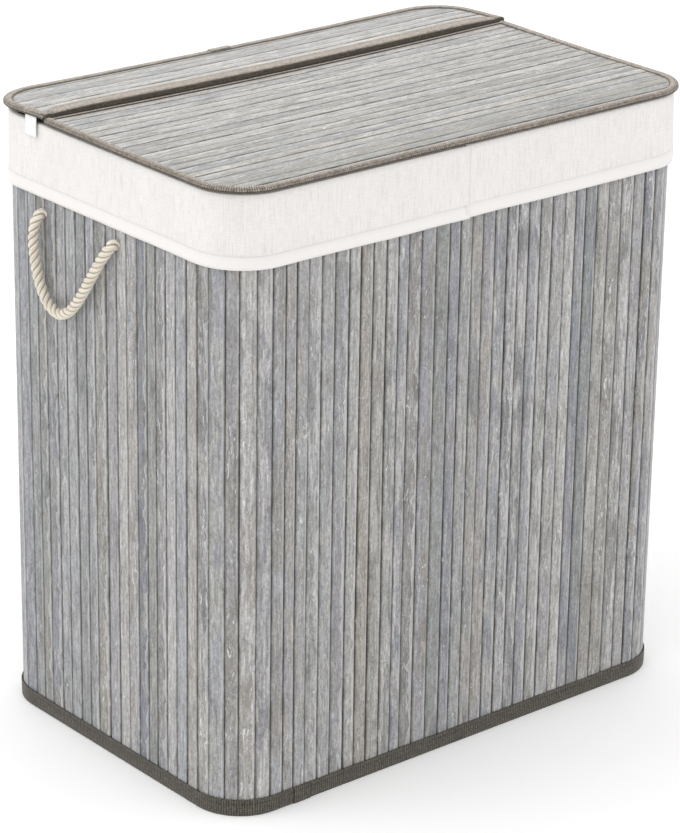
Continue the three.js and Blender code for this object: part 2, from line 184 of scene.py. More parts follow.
def shaded(tree, colour, factor, low, high):
    """Makes a colour darker and lighter with a pattern from 0 to 1."""
    value = put(
        tree,
        "ShaderNodeMapRange",
        {"Value": factor, "From Min": 0.32, "From Max": 0.68, "To Min": low, "To Max": high},
    ).outputs["Result"]
    if not isinstance(colour, bpy.types.NodeSocket):
        colour = (*colour, 1)
    return put(tree, "ShaderNodeHueSaturation", {"Color": colour, "Value": value}).outputs["Color"]


def split_bamboo(name, shades, bleached, white, stain, contrast, smears):
    """Split bamboo, planed flat, stained and weathered to grey: each slat has its own three shades
    in long cloudy patches, and a wavy pale strip, stains, fibres and short white smears of skin
    run along it. Some slats have a curled figure where the cane was jointed. Both edges are
    darker, part grime and part painted shade towards the gaps, and one of them is paler, part
    wear and part a painted highlight on its rounded edge."""
    material, tree, shader = new_material(name)
    tone = put(tree, "ShaderNodeAttribute", attribute_name="tone")
    pick = put(tree, "ShaderNodeSeparateXYZ", {"Vector": tone.outputs["Vector"]}).outputs
    edge = put(tree, "ShaderNodeAttribute", attribute_name="edge")
    across = put(tree, "ShaderNodeSeparateXYZ", {"Vector": edge.outputs["Vector"]}).outputs["X"]
    steps = [(i / (len(shades) - 1), linear(shade)) for i, shade in enumerate(shades)]
    patch = ramp(tree, streaks(tree, 12, 80, 4.0, 0.8), [(0.46, 0.0), (0.54, 0.9)])
    colour = mix(tree, patch, ramp(tree, pick["X"], steps), ramp(tree, pick["Y"], steps))
    patch = ramp(tree, streaks(tree, 5, 42, 3.0, 1.0), [(0.52, 0.0), (0.64, 0.7)])
    colour = mix(tree, patch, colour, ramp(tree, pick["Z"], steps))
    cloud = streaks(tree, 8, 30, 5.0, 0.8, roughness=0.62)
    streak = streaks(tree, 1.8, 60, 3.0, roughness=0.65)
    fibre = streaks(tree, 0.7, 20, 2.0)
    mottle = streaks(tree, 2.4, 4.5, 4.0, 1.0, roughness=0.7)
    colour = shaded(tree, colour, cloud, 1 - 1.9 * contrast, 1 + 1.8 * contrast)
    colour = shaded(tree, colour, mottle, 1 - 2.2 * contrast, 1 + 2.2 * contrast)
    colour = shaded(tree, colour, streak, 1 - 1.3 * contrast, 1 + 1.3 * contrast)
    colour = shaded(tree, colour, fibre, 1 - 0.4 * contrast, 1 + 0.4 * contrast)
    joints = put(
        tree,
        "ShaderNodeTexWave",
        {"Vector": put(tree, "ShaderNodeAttribute", attribute_name="grain").outputs["Vector"],
         "Scale": bands(310)},
        bands_direction="Y",
    ).outputs["Fac"]
    joints = ramp(tree, joints, [(0.94, 0.0), (0.99, 1.0)])
    joints = number(tree, "MULTIPLY", joints, ramp(tree, pick["X"], [(0.6, 0.0), (0.65, 1.0)]))
    curled = shaded(tree, colour, streaks(tree, 4, 5, 3.0, 4.0), 0.7, 1.25)
    colour = mix(tree, joints, colour, curled)
    mark = ramp(tree, streaks(tree, 4, 30, 3.0, 0.8), [(0.53, 0.0), (0.68, 0.6)])
    colour = mix(tree, mark, colour, linear(stain))
    wander = number(tree, "MULTIPLY", streaks(tree, 34, 22, 3.0, 0.5, roughness=0.5), 0.6)
    strip = number(tree, "ADD", number(tree, "MULTIPLY", across, 0.4), wander)
    strip = ramp(tree, strip, [(0.6, 0.0), (0.615, 0.65), (0.66, 0.4), (0.78, 0.0)])
    striped = ramp(tree, pick["Z"], [(0.6, 0.0), (0.62, 1.0)])
    colour = mix(tree, number(tree, "MULTIPLY", strip, striped), colour, linear(bleached))
    spots = number(tree, "MULTIPLY", streaks(tree, 40, 70, 2.0), 0.3)
    smear = number(tree, "ADD", streaks(tree, 3.6, 17, 2.0, 2.4, roughness=0.45), spots)
    smear = number(tree, "MULTIPLY_ADD", pick["X"], 0.07, smear)
    smear = ramp(tree, number(tree, "ADD", smear, smears), [(0.86, 0.0), (0.9, 0.75)])
    colour = mix(tree, smear, colour, linear(white))
    # Paler along one edge: part wear, part a painted highlight on the rounded edge.
    worn_and_highlit_edge = ramp(tree, across, [(0.8, 0.0), (0.9, 1.0), (0.97, 0.2)])
    patchy = ramp(tree, streaks(tree, 20, 60, 3.0), [(0.42, 0.0), (0.6, 0.7)])
    colour = mix(tree, number(tree, "MULTIPLY", worn_and_highlit_edge, patchy), colour, linear(bleached))
    # Darker towards both edges in #55534c: part grime, part painted shade where the slats meet the gaps.
    edge_grime_and_shade = ramp(tree, across, [(0.0, 0.75), (0.16, 0.0), (0.87, 0.0), (1.0, 0.65)])
    uneven = ramp(tree, streaks(tree, 60, 24, 3.0), [(0.36, 0.3), (0.6, 1.0)])
    edge_grime_and_shade = number(tree, "MULTIPLY", edge_grime_and_shade, uneven)
    colour = mix(tree, edge_grime_and_shade, colour, linear("#55534c"))
    tree.links.new(colour, shader.inputs["Base Color"])
    rough = put(
        tree,
        "ShaderNodeMapRange",
        {"Value": streak, "From Min": 0.3, "From Max": 0.7, "To Min": 0.5, "To Max": 0.72},
    ).outputs["Result"]
    tree.links.new(rough, shader.inputs["Roughness"])
    shader.inputs["Specular IOR Level"].default_value = 0.3
    bump(tree, shader, number(tree, "ADD", streak, mottle), 0.6, 0.3)
    return material


def woven_tape(name, colour, light, dark, rib_mm):
    """Cotton binding tape: a plain rib weave. The raised threads are lighter, part dust and part a
    painted highlight, with painted shade between them. Where the section's fold number is high
    the tape turns to its dark colour: painted shade on its sides and in its grooves, and painted
    shade with some grime in its folds. The ribs are drawn at about twice the real 1 mm, so that
    they show."""
    material, tree, shader = new_material(name)
    place = put(tree, "ShaderNodeAttribute", attribute_name="thread").outputs["Vector"]
    fold = put(tree, "ShaderNodeSeparateXYZ", {"Vector": place}).outputs["Z"]
    flat = put(tree, "ShaderNodeMapping", {"Vector": place, "Scale": (1, 1, 0)}).outputs["Vector"]
    ribs, threads = (
        put(
            tree,
            "ShaderNodeTexWave",
            {"Vector": flat, "Scale": bands(size), "Distortion": 3.0, "Detail": 2.0,
             "Detail Scale": 1.5},
            bands_direction=way,
        ).outputs["Fac"]
        for size, way in ((rib_mm, "Y"), (rib_mm * 0.9, "X"))
    )
    weave = number(tree, "MULTIPLY", ribs, number(tree, "MULTIPLY_ADD", threads, 0.6, 0.4))
    # Raised threads lighter: part dust, part painted highlight; painted shade between them.
    raised = ramp(tree, weave, [(0.08, 0.0), (0.55, 1.0)])
    tint = mix(tree, raised, linear(colour), linear(light))
    # The fold number paints shade in the dark colour: on the sides, in grooves and, with some grime, in
    # folds.
    tint = mix(tree, fold, tint, shaded(tree, linear(dark), weave, 0.7, 1.5))
    tint = shaded(tree, tint, streaks(tree, 6, 22, 3.0, name="thread"), 0.86, 1.14)
    tint = shaded(tree, tint, streaks(tree, 2.2, 3, 3.0, name="thread", roughness=0.7), 0.55, 1.45)
    tree.links.new(tint, shader.inputs["Base Color"])
    shader.inputs["Roughness"].default_value = 0.88
    shader.inputs["Specular IOR Level"].default_value = 0.25
    shader.inputs["Sheen Weight"].default_value = 0.15
    shader.inputs["Sheen Roughness"].default_value = 0.5
    bump(tree, shader, weave, 0.7, 0.4)
    return material


def linen_cotton(name, colour, shade, hem):
    """Off-white cotton and linen cloth, plain woven: uneven slub threads both ways, and whiter where
    it is doubled at the hem, with a darker line at the stitching above it, part stitching and part
    painted shade. The threads are drawn at 1 mm instead of 0.5 mm, so that they show."""
    material, tree, shader = new_material(name)
    place = put(tree, "ShaderNodeAttribute", attribute_name="thread").outputs["Vector"]
    doubled = put(tree, "ShaderNodeSeparateXYZ", {"Vector": place}).outputs["Z"]
    upright = streaks(tree, 1.0, 9, 2.0, name="thread")
    level = streaks(tree, 9, 1.0, 2.0, name="thread")
    slub = streaks(tree, 1.6, 26, 2.0, name="thread")
    cloudy = streaks(tree, 45, 60, 2.0, name="thread")
    tint = mix(tree, ramp(tree, slub, [(0.5, 0.0), (0.72, 0.8)]), linear(colour), linear(shade))
    tint = shaded(tree, tint, upright, 0.955, 1.04)
    tint = shaded(tree, tint, level, 0.955, 1.04)
    tint = shaded(tree, tint, cloudy, 0.975, 1.02)
    # A darker line along the stitching above the hem: part stitching, part painted shade in the crease
    # there.
    stitched = ramp(tree, doubled, [(0.2, 0.0), (0.45, 0.6), (0.6, 0.6), (0.8, 0.0)])
    tint = mix(tree, ramp(tree, doubled, [(0.6, 0.0), (0.9, 0.9)]), tint, linear(hem))
    tint = mix(tree, stitched, tint, linear(shade))
    tree.links.new(tint, shader.inputs["Base Color"])
    shader.inputs["Roughness"].default_value = 0.92
    shader.inputs["Specular IOR Level"].default_value = 0.2
    shader.inputs["Sheen Weight"].default_value = 0.15
    bump(tree, shader, number(tree, "ADD", upright, level), 0.3, 0.2)
    return material


def plain_cloth(name, colour, thread_mm=1.0, roughness=0.92):
    """Plain cloth with a fine even weave, such as a satin tab or a felted base."""
    material, tree, shader = new_material(name)
    place = put(tree, "ShaderNodeAttribute", attribute_name="thread").outputs["Vector"]
    warp = put(
        tree, "ShaderNodeTexWave", {"Vector": place, "Scale": bands(thread_mm)}, bands_direction="X"
    ).outputs["Fac"]
    weft = put(
        tree, "ShaderNodeTexWave", {"Vector": place, "Scale": bands(thread_mm)}, bands_direction="Y"
    ).outputs["Fac"]
    tufts = streaks(tree, 1.6, 1.6, 3.0, name="thread")
    tint = shaded(tree, linear(colour), tufts, 0.9, 1.1)
    tree.links.new(tint, shader.inputs["Base Color"])
    shader.inputs["Roughness"].default_value = roughness
    shader.inputs["Specular IOR Level"].default_value = 0.25
    bump(tree, shader, number(tree, "ADD", number(tree, "MULTIPLY", warp, weft), tufts), 0.4, 0.2)
    return material


def cotton_rope(name, colour, shade, deep):
    """Three-strand unbleached cotton rope: soft matt yarns that wind round each strand, creamier
    where they catch dust, and painted with shade in the grooves between the strands."""
    material, tree, shader = new_material(name)
    place = put(tree, "ShaderNodeAttribute", attribute_name="thread").outputs["Vector"]
    turned = put(
        tree, "ShaderNodeMapping", {"Vector": place, "Rotation": (0, 0, math.radians(52))}
    ).outputs["Vector"]
    yarn = put(
        tree,
        "ShaderNodeTexWave",
        {"Vector": turned, "Scale": bands(1.1), "Distortion": 1.5, "Detail": 2.0},
    ).outputs["Fac"]
    dust = streaks(tree, 3, 9, 3.0, name="thread")
    tint = mix(tree, ramp(tree, dust, [(0.35, 0.0), (0.7, 0.8)]), linear(colour), linear(shade))
    tint = shaded(tree, tint, yarn, 0.9, 1.06)
    # Painted shade in the grooves between the strands, in the deep colour.
    between = put(tree, "ShaderNodeSeparateXYZ", {"Vector": place}).outputs["Z"]
    tint = mix(tree, ramp(tree, between, [(0.12, 0.0), (0.9, 0.9)]), tint, linear(deep))
    tree.links.new(tint, shader.inputs["Base Color"])
    shader.inputs["Roughness"].default_value = 0.95
    shader.inputs["Specular IOR Level"].default_value = 0.15
    shader.inputs["Sheen Weight"].default_value = 0.3
    bump(tree, shader, yarn, 0.7, 0.35)
    return material


def solid_look(name, colour, dark, roughness, stretch_mm, amount, relief_mm=0.1, specular=0.4):
    """A rigid piece with a pattern that runs one way: sanded beech grain, pressed board fibres or
    the faint orange peel of moulded plastic."""
    material, tree, shader = new_material(name)
    place = put(tree, "ShaderNodeTexCoord").outputs["Object"]
    scaled = put(
        tree,
        "ShaderNodeMapping",
        {"Vector": place, "Scale": tuple(per(size) for size in stretch_mm)},
    ).outputs["Vector"]
    pattern = put(
        tree, "ShaderNodeTexNoise", {"Vector": scaled, "Scale": 1.0, "Detail": 4.0}
    ).outputs["Fac"]
    tint = mix(tree, ramp(tree, pattern, [(0.4, 0.0), (0.65, amount)]), linear(colour), linear(dark))
    tree.links.new(tint, shader.inputs["Base Color"])
    shader.inputs["Roughness"].default_value = roughness
    shader.inputs["Specular IOR Level"].default_value = specular
    bump(tree, shader, pattern, 0.4, relief_mm)
    return material


# Shapes


def rounded(width, depth, radius, s):
    """The point s along a rounded rectangle from the middle of its front towards +X, and the
    angle that it faces."""
    straight_x = width - 2 * radius
    straight_y = depth - 2 * radius
    arc = radius * math.pi / 2
    round_all = 2 * (straight_x + straight_y) + 4 * arc
    rest = (s + straight_x / 2) % round_all
    corners = [(1, -1, straight_x), (1, 1, straight_y), (-1, 1, straight_x), (-1, -1, straight_y)]
    for side, (sx, sy, straight) in enumerate(corners):
        facing = (side - 1) * math.pi / 2
        x, y = sx * straight_x / 2, sy * straight_y / 2
        if rest <= straight:
            back = straight - rest
            return (
                x + radius * math.cos(facing) + back * math.sin(facing),
                y + radius * math.sin(facing) - back * math.cos(facing),
                facing,
            )
        rest -= straight
        if rest < arc or side == 3:
            angle = facing + rest / radius
            return x + radius * math.cos(angle), y + radius * math.sin(angle), angle
        rest -= arc
    return None


def round_length(width, depth, radius):
    """The length of a rounded rectangle's outline."""
    return 2 * (width + depth) - 8 * radius + 2 * math.pi * radius


def upright_frame(x, y, z, facing):
    """A section's place: its x points outwards, its y up."""
    out = Vector((math.cos(facing), math.sin(facing), 0))
    up = Vector((0, 0, 1))
    turn = Matrix((out, up, out.cross(up))).transposed().to_4x4()
    return Matrix.Translation((x, y, z)) @ turn


def sweep(bm, section, frames, closed=False):
    """Draws a closed section out through frames. Each point (x, y, fold) of the section notes how
    far round and along it lies, and how much painted shade it gets in folds, in grooves and on
    faces turned from the light."""
    thread = bm.verts.layers.float_vector.get("thread") or bm.verts.layers.float_vector.new("thread")
    ring = bmesh.ops.create_circle(bm, segments=len(section), radius=1)["verts"]
    around = 0.0
    for i, (vert, point) in enumerate(zip(ring, section)):
        x, y, fold = (*point, 0.0)[:3]
        if i:
            around += math.dist(section[i - 1][:2], (x, y))
        vert.co = frames[0] @ Vector((x, y, 0))
        vert[thread] = (around, 0, fold)
    edges = list({edge for vert in ring for edge in vert.link_edges})
    first = edges
    along = 0.0
    for before, here in zip(frames, frames[1:]):
        along += (here.translation - before.translation).length
        made = bmesh.ops.extrude_edge_only(bm, edges=edges)["geom"]
        verts = [g for g in made if isinstance(g, bmesh.types.BMVert)]
        edges = [g for g in made if isinstance(g, bmesh.types.BMEdge)]
        bmesh.ops.transform(bm, matrix=here @ before.inverted(), verts=verts)
        for vert in verts:
            vert[thread] = (vert[thread].x, along, vert[thread].z)
    if closed:
        bmesh.ops.remove_doubles(bm, verts=bm.verts[:], dist=0.00002)
    else:
        bmesh.ops.edgeloop_fill(bm, edges=first)
        bmesh.ops.edgeloop_fill(bm, edges=edges)


def sheet_of(bm, across, along, columns, rows, place, doubled=None):
    """A grid of cloth whose point (u, v), each from 0 to 1, lies at place(u, v). Its real width
    and height are across and along, and doubled(v) says where it is a doubled hem."""
    thread = bm.verts.layers.float_vector.get("thread") or bm.verts.layers.float_vector.new("thread")
    made = bmesh.ops.create_grid(bm, x_segments=columns, y_segments=rows, size=0.5)["verts"]
    for vert in made:
        u, v = vert.co.x + 0.5, vert.co.y + 0.5
        vert[thread] = (u * across, v * along, doubled(v) if doubled else 0)
        vert.co = place(u, v)
    return made


def thicken(bm, faces, thickness):
    """Gives cloth its thickness, with its faces outwards."""
    bmesh.ops.recalc_face_normals(bm, faces=faces)
    bmesh.ops.solidify(bm, geom=faces, thickness=thickness)


def piece(name, bm, material, body, replaced=(), smooth=True, flat_angle=None):
    """Turns a bmesh into a finished piece that rides on a body."""
    bmesh.ops.recalc_face_normals(bm, faces=bm.faces[:])
    mesh = bpy.data.meshes.new(name)
    bm.to_mesh(mesh)
    bm.free()
    if smooth:
        mesh.shade_smooth()
        if flat_angle:
            mesh.set_sharp_from_angle(angle=math.radians(flat_angle))
    mesh.materials.append(material)
    obj = bpy.data.objects.new(name, mesh)
    bpy.context.collection.objects.link(obj)
    if body:
        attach(obj, body)
    if replaced:
        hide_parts(*replaced)
    return obj


def dress(node, material):
    """Gives a part that keeps its own shape a better material."""
    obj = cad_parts[node]
    for slot in obj.material_slots:
        slot.material = material


def sway(x, y, z, size_mm, seed=0.0):
    """A smooth random number from -1 to 1 that changes over a real size."""
    scale = per(size_mm)
    return noise.noise(Vector((x * scale + seed, y * scale - seed, z * scale + 3.7 * seed)))


# Sizes and colours


def length(name, about, mm):
    """A size that a user may change."""
    return FloatProperty(name=name, description=about, default=mm * MM, unit="LENGTH", precision=5)


def angle(name, about, degrees):
    """An angle, given in degrees."""
    return FloatProperty(
        name=name, description=about, default=math.radians(degrees), subtype="ANGLE"
    )


def power(name, about, watts):
    """The power of a light."""
    return FloatProperty(name=name, description=about, default=watts, unit="POWER")


def colour_of(name, about, code):
    """A colour that a user may change."""
    return FloatVectorProperty(
        name=name, description=about, default=linear(code), subtype="COLOR", size=3, min=0, max=1
    )


class WallSizes(bpy.types.PropertyGroup):
    """The slatted wall and its foot."""

    width: length("Width", "Over the slats' faces, left to right", 560)
    depth: length("Depth", "Over the slats' faces, front to back", 370)
    corner: length("Corner radius", "Of the slats' faces", 50)
    top: length("Top", "Upper ends of the slats", 606)
    foot: length("Foot", "Lower ends of the slats", 1.2)
    slat: length("Slat width", "Middle width of a slat and its gap", 14.86)
    spread: length("Width spread", "How far slat widths stray from the middle width", 1.7)
    gap: length("Gap", "Between slats", 1.2)
    shoulder: length("Shoulder", "Round of a slat's long edges", 1.2)
    thick: length("Slat thickness", "Without the cloth behind", 2.6)
    cloth: length("Cloth thickness", "Behind the slats", 0.8)
    binding: length("Binding height", "Of the tape round the foot", 17)
    seed: IntProperty(name="Seed", description="Picks the slats' widths and shades", default=11)


class LinerSizes(bpy.types.PropertyGroup):
    """The two hanging bags and their cuffs."""

    top: length("Top", "Over the rim", 608.2)
    drop: length("Cuff height", "From the rim to the hem", 70)
    hem: length("Hem height", "Of the doubled edge", 12)
    cloth: length("Cloth thickness", "Of one layer", 1.0)
    inset: length("Inset", "How far the bag hangs from the wall", 24)
    bottom: length("Bottom", "Lower face of the bag", 5.4)
    flap: length("Rod flap", "How far the flap hangs past the rod", 26)
    corner: length("Inner corner", "Radius beside the divider", 8)
    rod: length("Rod radius", "Of the rod that the bags hang on", 5)
    rod_height: length("Rod height", "Of the rod's middle", 599)
    seam: length("Seam", "Where the cuffs meet, left of the middle", 8)
    lap: length("Lap", "How far the left cuff laps over the right one", 5)
    ripple: length("Ripple", "Depth of the soft waves in the cuff", 0.9)


class LidSizes(bpy.types.PropertyGroup):
    """The two slatted panels, their bindings and the ridge between them."""

    overhang: length("Overhang", "Past the wall", 5)
    corner: length("Corner radius", "Of the binding's outer edge", 52)
    foot: length("Underside", "Height of the flap's lower face", 608.5)
    thick: length("Thickness", "Of a bound panel", 5.7)
    rear: length("Rear panel", "From the back edge to the ridge", 100)
    rise: length("Rise", "How much higher the ridge edge stands", 6)
    slat: length("Slat width", "Middle width of a slat and its gap", 13.3)
    spread: length("Width spread", "How far slat widths stray", 1.1)
    gap: length("Gap", "Between slats", 0.7)
    shoulder: length("Shoulder", "Round of a slat's long edges", 0.6)
    binding: length("Binding width", "On top of the panel", 9.5)
    ridge: length("Ridge tape width", "On top of the rear panel", 15)
    bow: length("Bow", "How far the ends of the ridge stand up", 1.5)
    sag: length("Sag", "How far the middle of the ridge hangs down", 2.1)
    seed: IntProperty(name="Seed", description="Picks the slats' widths and shades", default=5)


class RopeSizes(bpy.types.PropertyGroup):
    """The twisted rope handles."""

    thick: length("Diameter", "Over the strands", 10.6)
    lay: length("Lay", "Length of one full turn of a strand", 22.5)
    middle: length("Middle", "Of the handle, behind the middle of the hamper", 42)


class HamperColours(bpy.types.PropertyGroup):
    """The floor and backdrop."""

    floor: colour_of("Floor", "Pale studio floor", "#fdfdfd")
    backdrop: colour_of("Backdrop", "Studio backdrop", "#ffffff")


class StageSizes(bpy.types.PropertyGroup):
    """Where the camera stands, and the strength of the lights."""

    turn: angle("Turn", "How far left of the front the camera stands", 40.06)
    tilt: angle("Tilt", "How far it looks down", 21.84)
    roll: angle("Roll", "About the line of sight", 0.863)
    away: length("Distance", "From the hamper's middle to the camera", 3352.8)
    aim: length("Aim", "Height of the point it looks at", 280)
    aside: length("Aside", "How far the camera is moved to its right", -0.4)
    above: length("Above", "How far the camera is moved upwards", 1.4)
    lens: FloatProperty(name="Lens", description="On a 36 mm frame", default=147.5, unit="CAMERA")
    key: power("Key light", "Of the large light", 12.4)
    fill: power("Fill light", "Of the front light", 3.4)
    sky: FloatProperty(name="Room light", description="Strength of the light around", default=1.03)
    glow: FloatProperty(name="Floor glow", description="Light given off by the floor", default=0.1)


def outline_stations(start, end, step):
    """Evenly spaced distances from start to end."""
    count = max(2, round(abs(end - start) / step))
    return [start + (end - start) * i / count for i in range(count + 1)]


def slat_widths(rng, total, middle, spread):
    """Random slat widths that fill a length."""
    count = round(total / middle)
    raw = [middle + spread * max(-1.6, min(1.9, rng.gauss(0, 0.75))) for _ in range(count)]
    share = total / sum(raw)
    return [width * share for width in raw]


def slat_template(long, thick, shoulder, cuts):
    """One slat, 1 wide: a flat strip with rounded long edges, its face towards +Y, along Z."""
    bm = bmesh.new()
    bmesh.ops.create_cube(bm, size=1)
    bmesh.ops.scale(bm, vec=(1, thick, long), verts=bm.verts[:])
    upright = [e for e in bm.edges if abs(e.verts[0].co.z - e.verts[1].co.z) > long / 2]
    bmesh.ops.subdivide_edges(bm, edges=upright, cuts=cuts, use_grid_fill=True)
    face_edges = [
        e for e in bm.edges
        if all(v.co.y > thick * 0.49 and abs(v.co.x) > 0.49 for v in e.verts)
        and abs(e.verts[0].co.z - e.verts[1].co.z) > 1e-6
    ]
    bmesh.ops.scale(bm, vec=(0.02, 1, 1), verts=bm.verts[:])
    bmesh.ops.bevel(
        bm, geom=face_edges, offset=shoulder, affect="EDGES", segments=3, profile=0.5, material=-1
    )
    bmesh.ops.scale(bm, vec=(50, 1, 1), verts=bm.verts[:])
    mesh = bpy.data.meshes.new("slat")
    bm.to_mesh(mesh)
    bm.free()
    return mesh


def lay_slat(bm, template, move, index, rng, width):
    """Adds a slat to a row: move(point) places it, and it keeps its own shade and grain."""
    layers = bm.verts.layers.float_vector
    grain, tone, edge = (layers.get(name) or layers.new(name) for name in ("grain", "tone", "edge"))
    own = (rng.random(), rng.random(), rng.random())
    shift = rng.uniform(0, 5)
    start = len(bm.verts)
    bm.from_mesh(template)
    bm.verts.ensure_lookup_table()
    for vert in bm.verts[start:]:
        vert[grain] = (vert.co.x * width, vert.co.z + shift, index * 7.3)
        vert[tone] = own
        vert[edge] = (vert.co.x + 0.5, 0, 0)
        vert.co = move(vert.co)


# Operators


class HAMPER_OT_stage(bpy.types.Operator):
    """Sets up the camera, the floor and the soft studio light"""

    bl_idname = "hamper.stage"
    bl_label = "Studio"

    def execute(self, context):
        sizes, colours = context.scene.hamper_stage, context.scene.hamper_colours
        sight = Vector(
            (
                math.sin(sizes.turn) * math.cos(sizes.tilt),
                math.cos(sizes.turn) * math.cos(sizes.tilt),
                -math.sin(sizes.tilt),
            )
        )
        right = Vector((math.cos(sizes.turn), -math.sin(sizes.turn), 0))
        up = right.cross(sight)
        right, up = (
            right * math.cos(sizes.roll) + up * math.sin(sizes.roll),
            up * math.cos(sizes.roll) - right * math.sin(sizes.roll),
        )
        camera = bpy.data.objects.new("camera", bpy.data.cameras.new("camera"))
        camera.data.lens = sizes.lens
        camera.data.sensor_width = 36
        camera.data.clip_end = 50
        place = Vector((0, 0, sizes.aim)) - sight * sizes.away
        place += right * sizes.aside + up * sizes.above
        turn = Matrix((right, up, -sight)).transposed().to_4x4()
        camera.matrix_world = Matrix.Translation(place) @ turn
        context.collection.objects.link(camera)
        context.scene.camera = camera

        for name, spot, target, size, power, tint in (
            ("key_light", (-1.9, 0.9, 2.6), (0, 0, 0.4), 1.6, sizes.key, "#ffffff"),
            ("front_light", (1.8, -2.7, 1.5), (0, 0, 0.3), 2.4, sizes.fill, "#ffffff"),
        ):
            lamp = bpy.data.lights.new(name, "AREA")
            lamp.shape = "DISK"
            lamp.size = size
            lamp.energy = power
            lamp.color = linear(tint)
            light = bpy.data.objects.new(name, lamp)
            aim = (Vector(spot) - Vector(target)).to_track_quat("Z", "Y").to_matrix().to_4x4()
            light.matrix_world = Matrix.Translation(spot) @ aim
            context.collection.objects.link(light)

        world = bpy.data.worlds.new("studio")
        world.use_nodes = True
        back = world.node_tree.nodes["Background"]
        back.inputs["Color"].default_value = (*colours.backdrop, 1)
        back.inputs["Strength"].default_value = sizes.sky
        context.scene.world = world
        context.scene.view_settings.view_transform = "Standard"

        material, tree, shader = new_material("matt painted floor")
        place = put(tree, "ShaderNodeTexCoord").outputs["Object"]
        clouds = put(
            tree, "ShaderNodeTexNoise", {"Vector": place, "Scale": per(400), "Detail": 2.0}
        ).outputs["Fac"]
        floor_tint = shaded(tree, colours.floor, clouds, 0.995, 1.005)
        tree.links.new(floor_tint, shader.inputs["Base Color"])
        shader.inputs["Roughness"].default_value = 0.9
        shader.inputs["Emission Color"].default_value = (1, 1, 1, 1)
        shader.inputs["Emission Strength"].default_value = sizes.glow
        bm = bmesh.new()
        bmesh.ops.create_grid(bm, x_segments=4, y_segments=4, size=6)
        floor = piece("floor", bm, material, None)
        return {"FINISHED"}


def bezier_path(points, steps):
    """A smooth line through points."""
    tangents = [
        (points[min(i + 1, len(points) - 1)] - points[max(i - 1, 0)]) / 6 for i in range(len(points))
    ]
    line = []
    for i in range(len(points) - 1):
        line += interpolate_bezier(
            points[i], points[i] + tangents[i], points[i + 1] - tangents[i + 1], points[i + 1], steps
        )[:-1]
    line.append(points[-1].copy())
    return line


def spaced(line, step=None, count=None):
    """The same line with evenly spaced points, and its length."""
    lengths = [0.0]
    for a, b in zip(line, line[1:]):
        lengths.append(lengths[-1] + (b - a).length)
    count = count or round(lengths[-1] / step)
    out, i = [], 0
    for k in range(count + 1):
        want = lengths[-1] * k / count
        while i + 2 < len(line) and lengths[i + 1] < want:
            i += 1
        span = lengths[i + 1] - lengths[i]
        out.append(line[i].lerp(line[i + 1], (want - lengths[i]) / span if span else 0))
    return out, lengths[-1]


def strand_section(thick, points=8):
    """The outline of three strands laid together."""
    away, strand = 0.2 * thick, 0.3 * thick
    section = []
    for k in range(3 * points):
        angle = 2 * math.pi * k / (3 * points)
        off = (angle + math.pi / 3) % (2 * math.pi / 3) - math.pi / 3
        reach = away * math.cos(off) + math.sqrt(strand**2 - (away * math.sin(off)) ** 2)
        # Third number: how far into the groove between strands, where the rope gets painted shade.
        between = (abs(off) / (math.pi / 3)) ** 4
        section.append((reach * math.cos(angle), reach * math.sin(angle), between))
    return section


def rope_mesh(line, thick, lay, end_scales=(1, 1)):
    """Rope drawn along a line, its three strands turning once in each lay."""
    points, total = spaced(line, lay / 22)
    frames = []
    tangent = (points[1] - points[0]).normalized()
    side = tangent.orthogonal().normalized()
    for i, point in enumerate(points):
        ahead = (points[min(i + 1, len(points) - 1)] - points[max(i - 1, 0)]).normalized()
        side = tangent.rotation_difference(ahead) @ side
        tangent = ahead
        along = total * i / (len(points) - 1)
        twist = Matrix.Rotation(2 * math.pi * along / lay, 3, tangent)
        x = twist @ side
        size = 1.0
        for end, scale in ((along, end_scales[0]), (total - along, end_scales[1])):
            if end < thick / 2:
                size *= scale + (1 - scale) * math.sqrt(max(0, 1 - (1 - end / (thick / 2)) ** 2))
        turn = Matrix((x, tangent.cross(x), tangent)).transposed().to_4x4()
        frames.append(Matrix.Translation(point) @ turn @ Matrix.Scale(size, 4))
    bm = bmesh.new()
    sweep(bm, strand_section(thick), frames)
    return bm, points, total


class HAMPER_OT_ropes(bpy.types.Operator):
    """Lays the twisted rope handles, which bend where they leave their holes, and their knots"""

    bl_idname = "hamper.ropes"
    bl_label = "Rope handles"

    def execute(self, context):
        sizes, wall = context.scene.hamper_rope, context.scene.hamper_wall
        # The last colour is the painted shade between the strands.
        material = cotton_rope("unbleached cotton rope", "#fff8ea", "#ebdfc9", "#97866a")
        inner = wall.thick + wall.cloth
        for side, sign in (("left", -1), ("right", 1)):
            route = [(-inner / MM, *ROPE_ROUTE[0][1:]), (0, *ROPE_ROUTE[0][1:]), *ROPE_ROUTE]
            route += [(0, *ROPE_ROUTE[-1][1:]), (-inner / MM, *ROPE_ROUTE[-1][1:])]
            points = [
                Vector((sign * (wall.width / 2 + out * MM), sizes.middle + back * MM, wall.top - down * MM))
                for out, back, down in route
            ]
            bm, line, total = rope_mesh(bezier_path(points, 12), sizes.thick, sizes.lay)
            for place, end, step in (("back", points[0], 1), ("front", points[-1], -1)):
                turns = []
                for k in range(34):
                    angle = 2 * math.pi * k / 18
                    turns.append(
                        end
                        + Vector(
                            (
                                -sign * (0.0035 + 0.0118 * k / 33),
                                0.0046 * math.sin(step * angle),
                                0.0046 * (math.cos(angle) - 1) + 0.002,
                            )
                        )
                    )
                knot_bm, _, _ = rope_mesh([end, *turns], sizes.thick * 0.92, sizes.lay, (1, 0.3))
                name = f"knot_{side}_{place}"
                piece(f"{name}_rope", knot_bm, material, "hamper_body", [name])
            rope = piece(f"rope_{side}", bm, material, None, [f"handle_{side}"])
            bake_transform(rope)
            [tuple(p) for p in line]
        return {"FINISHED"}


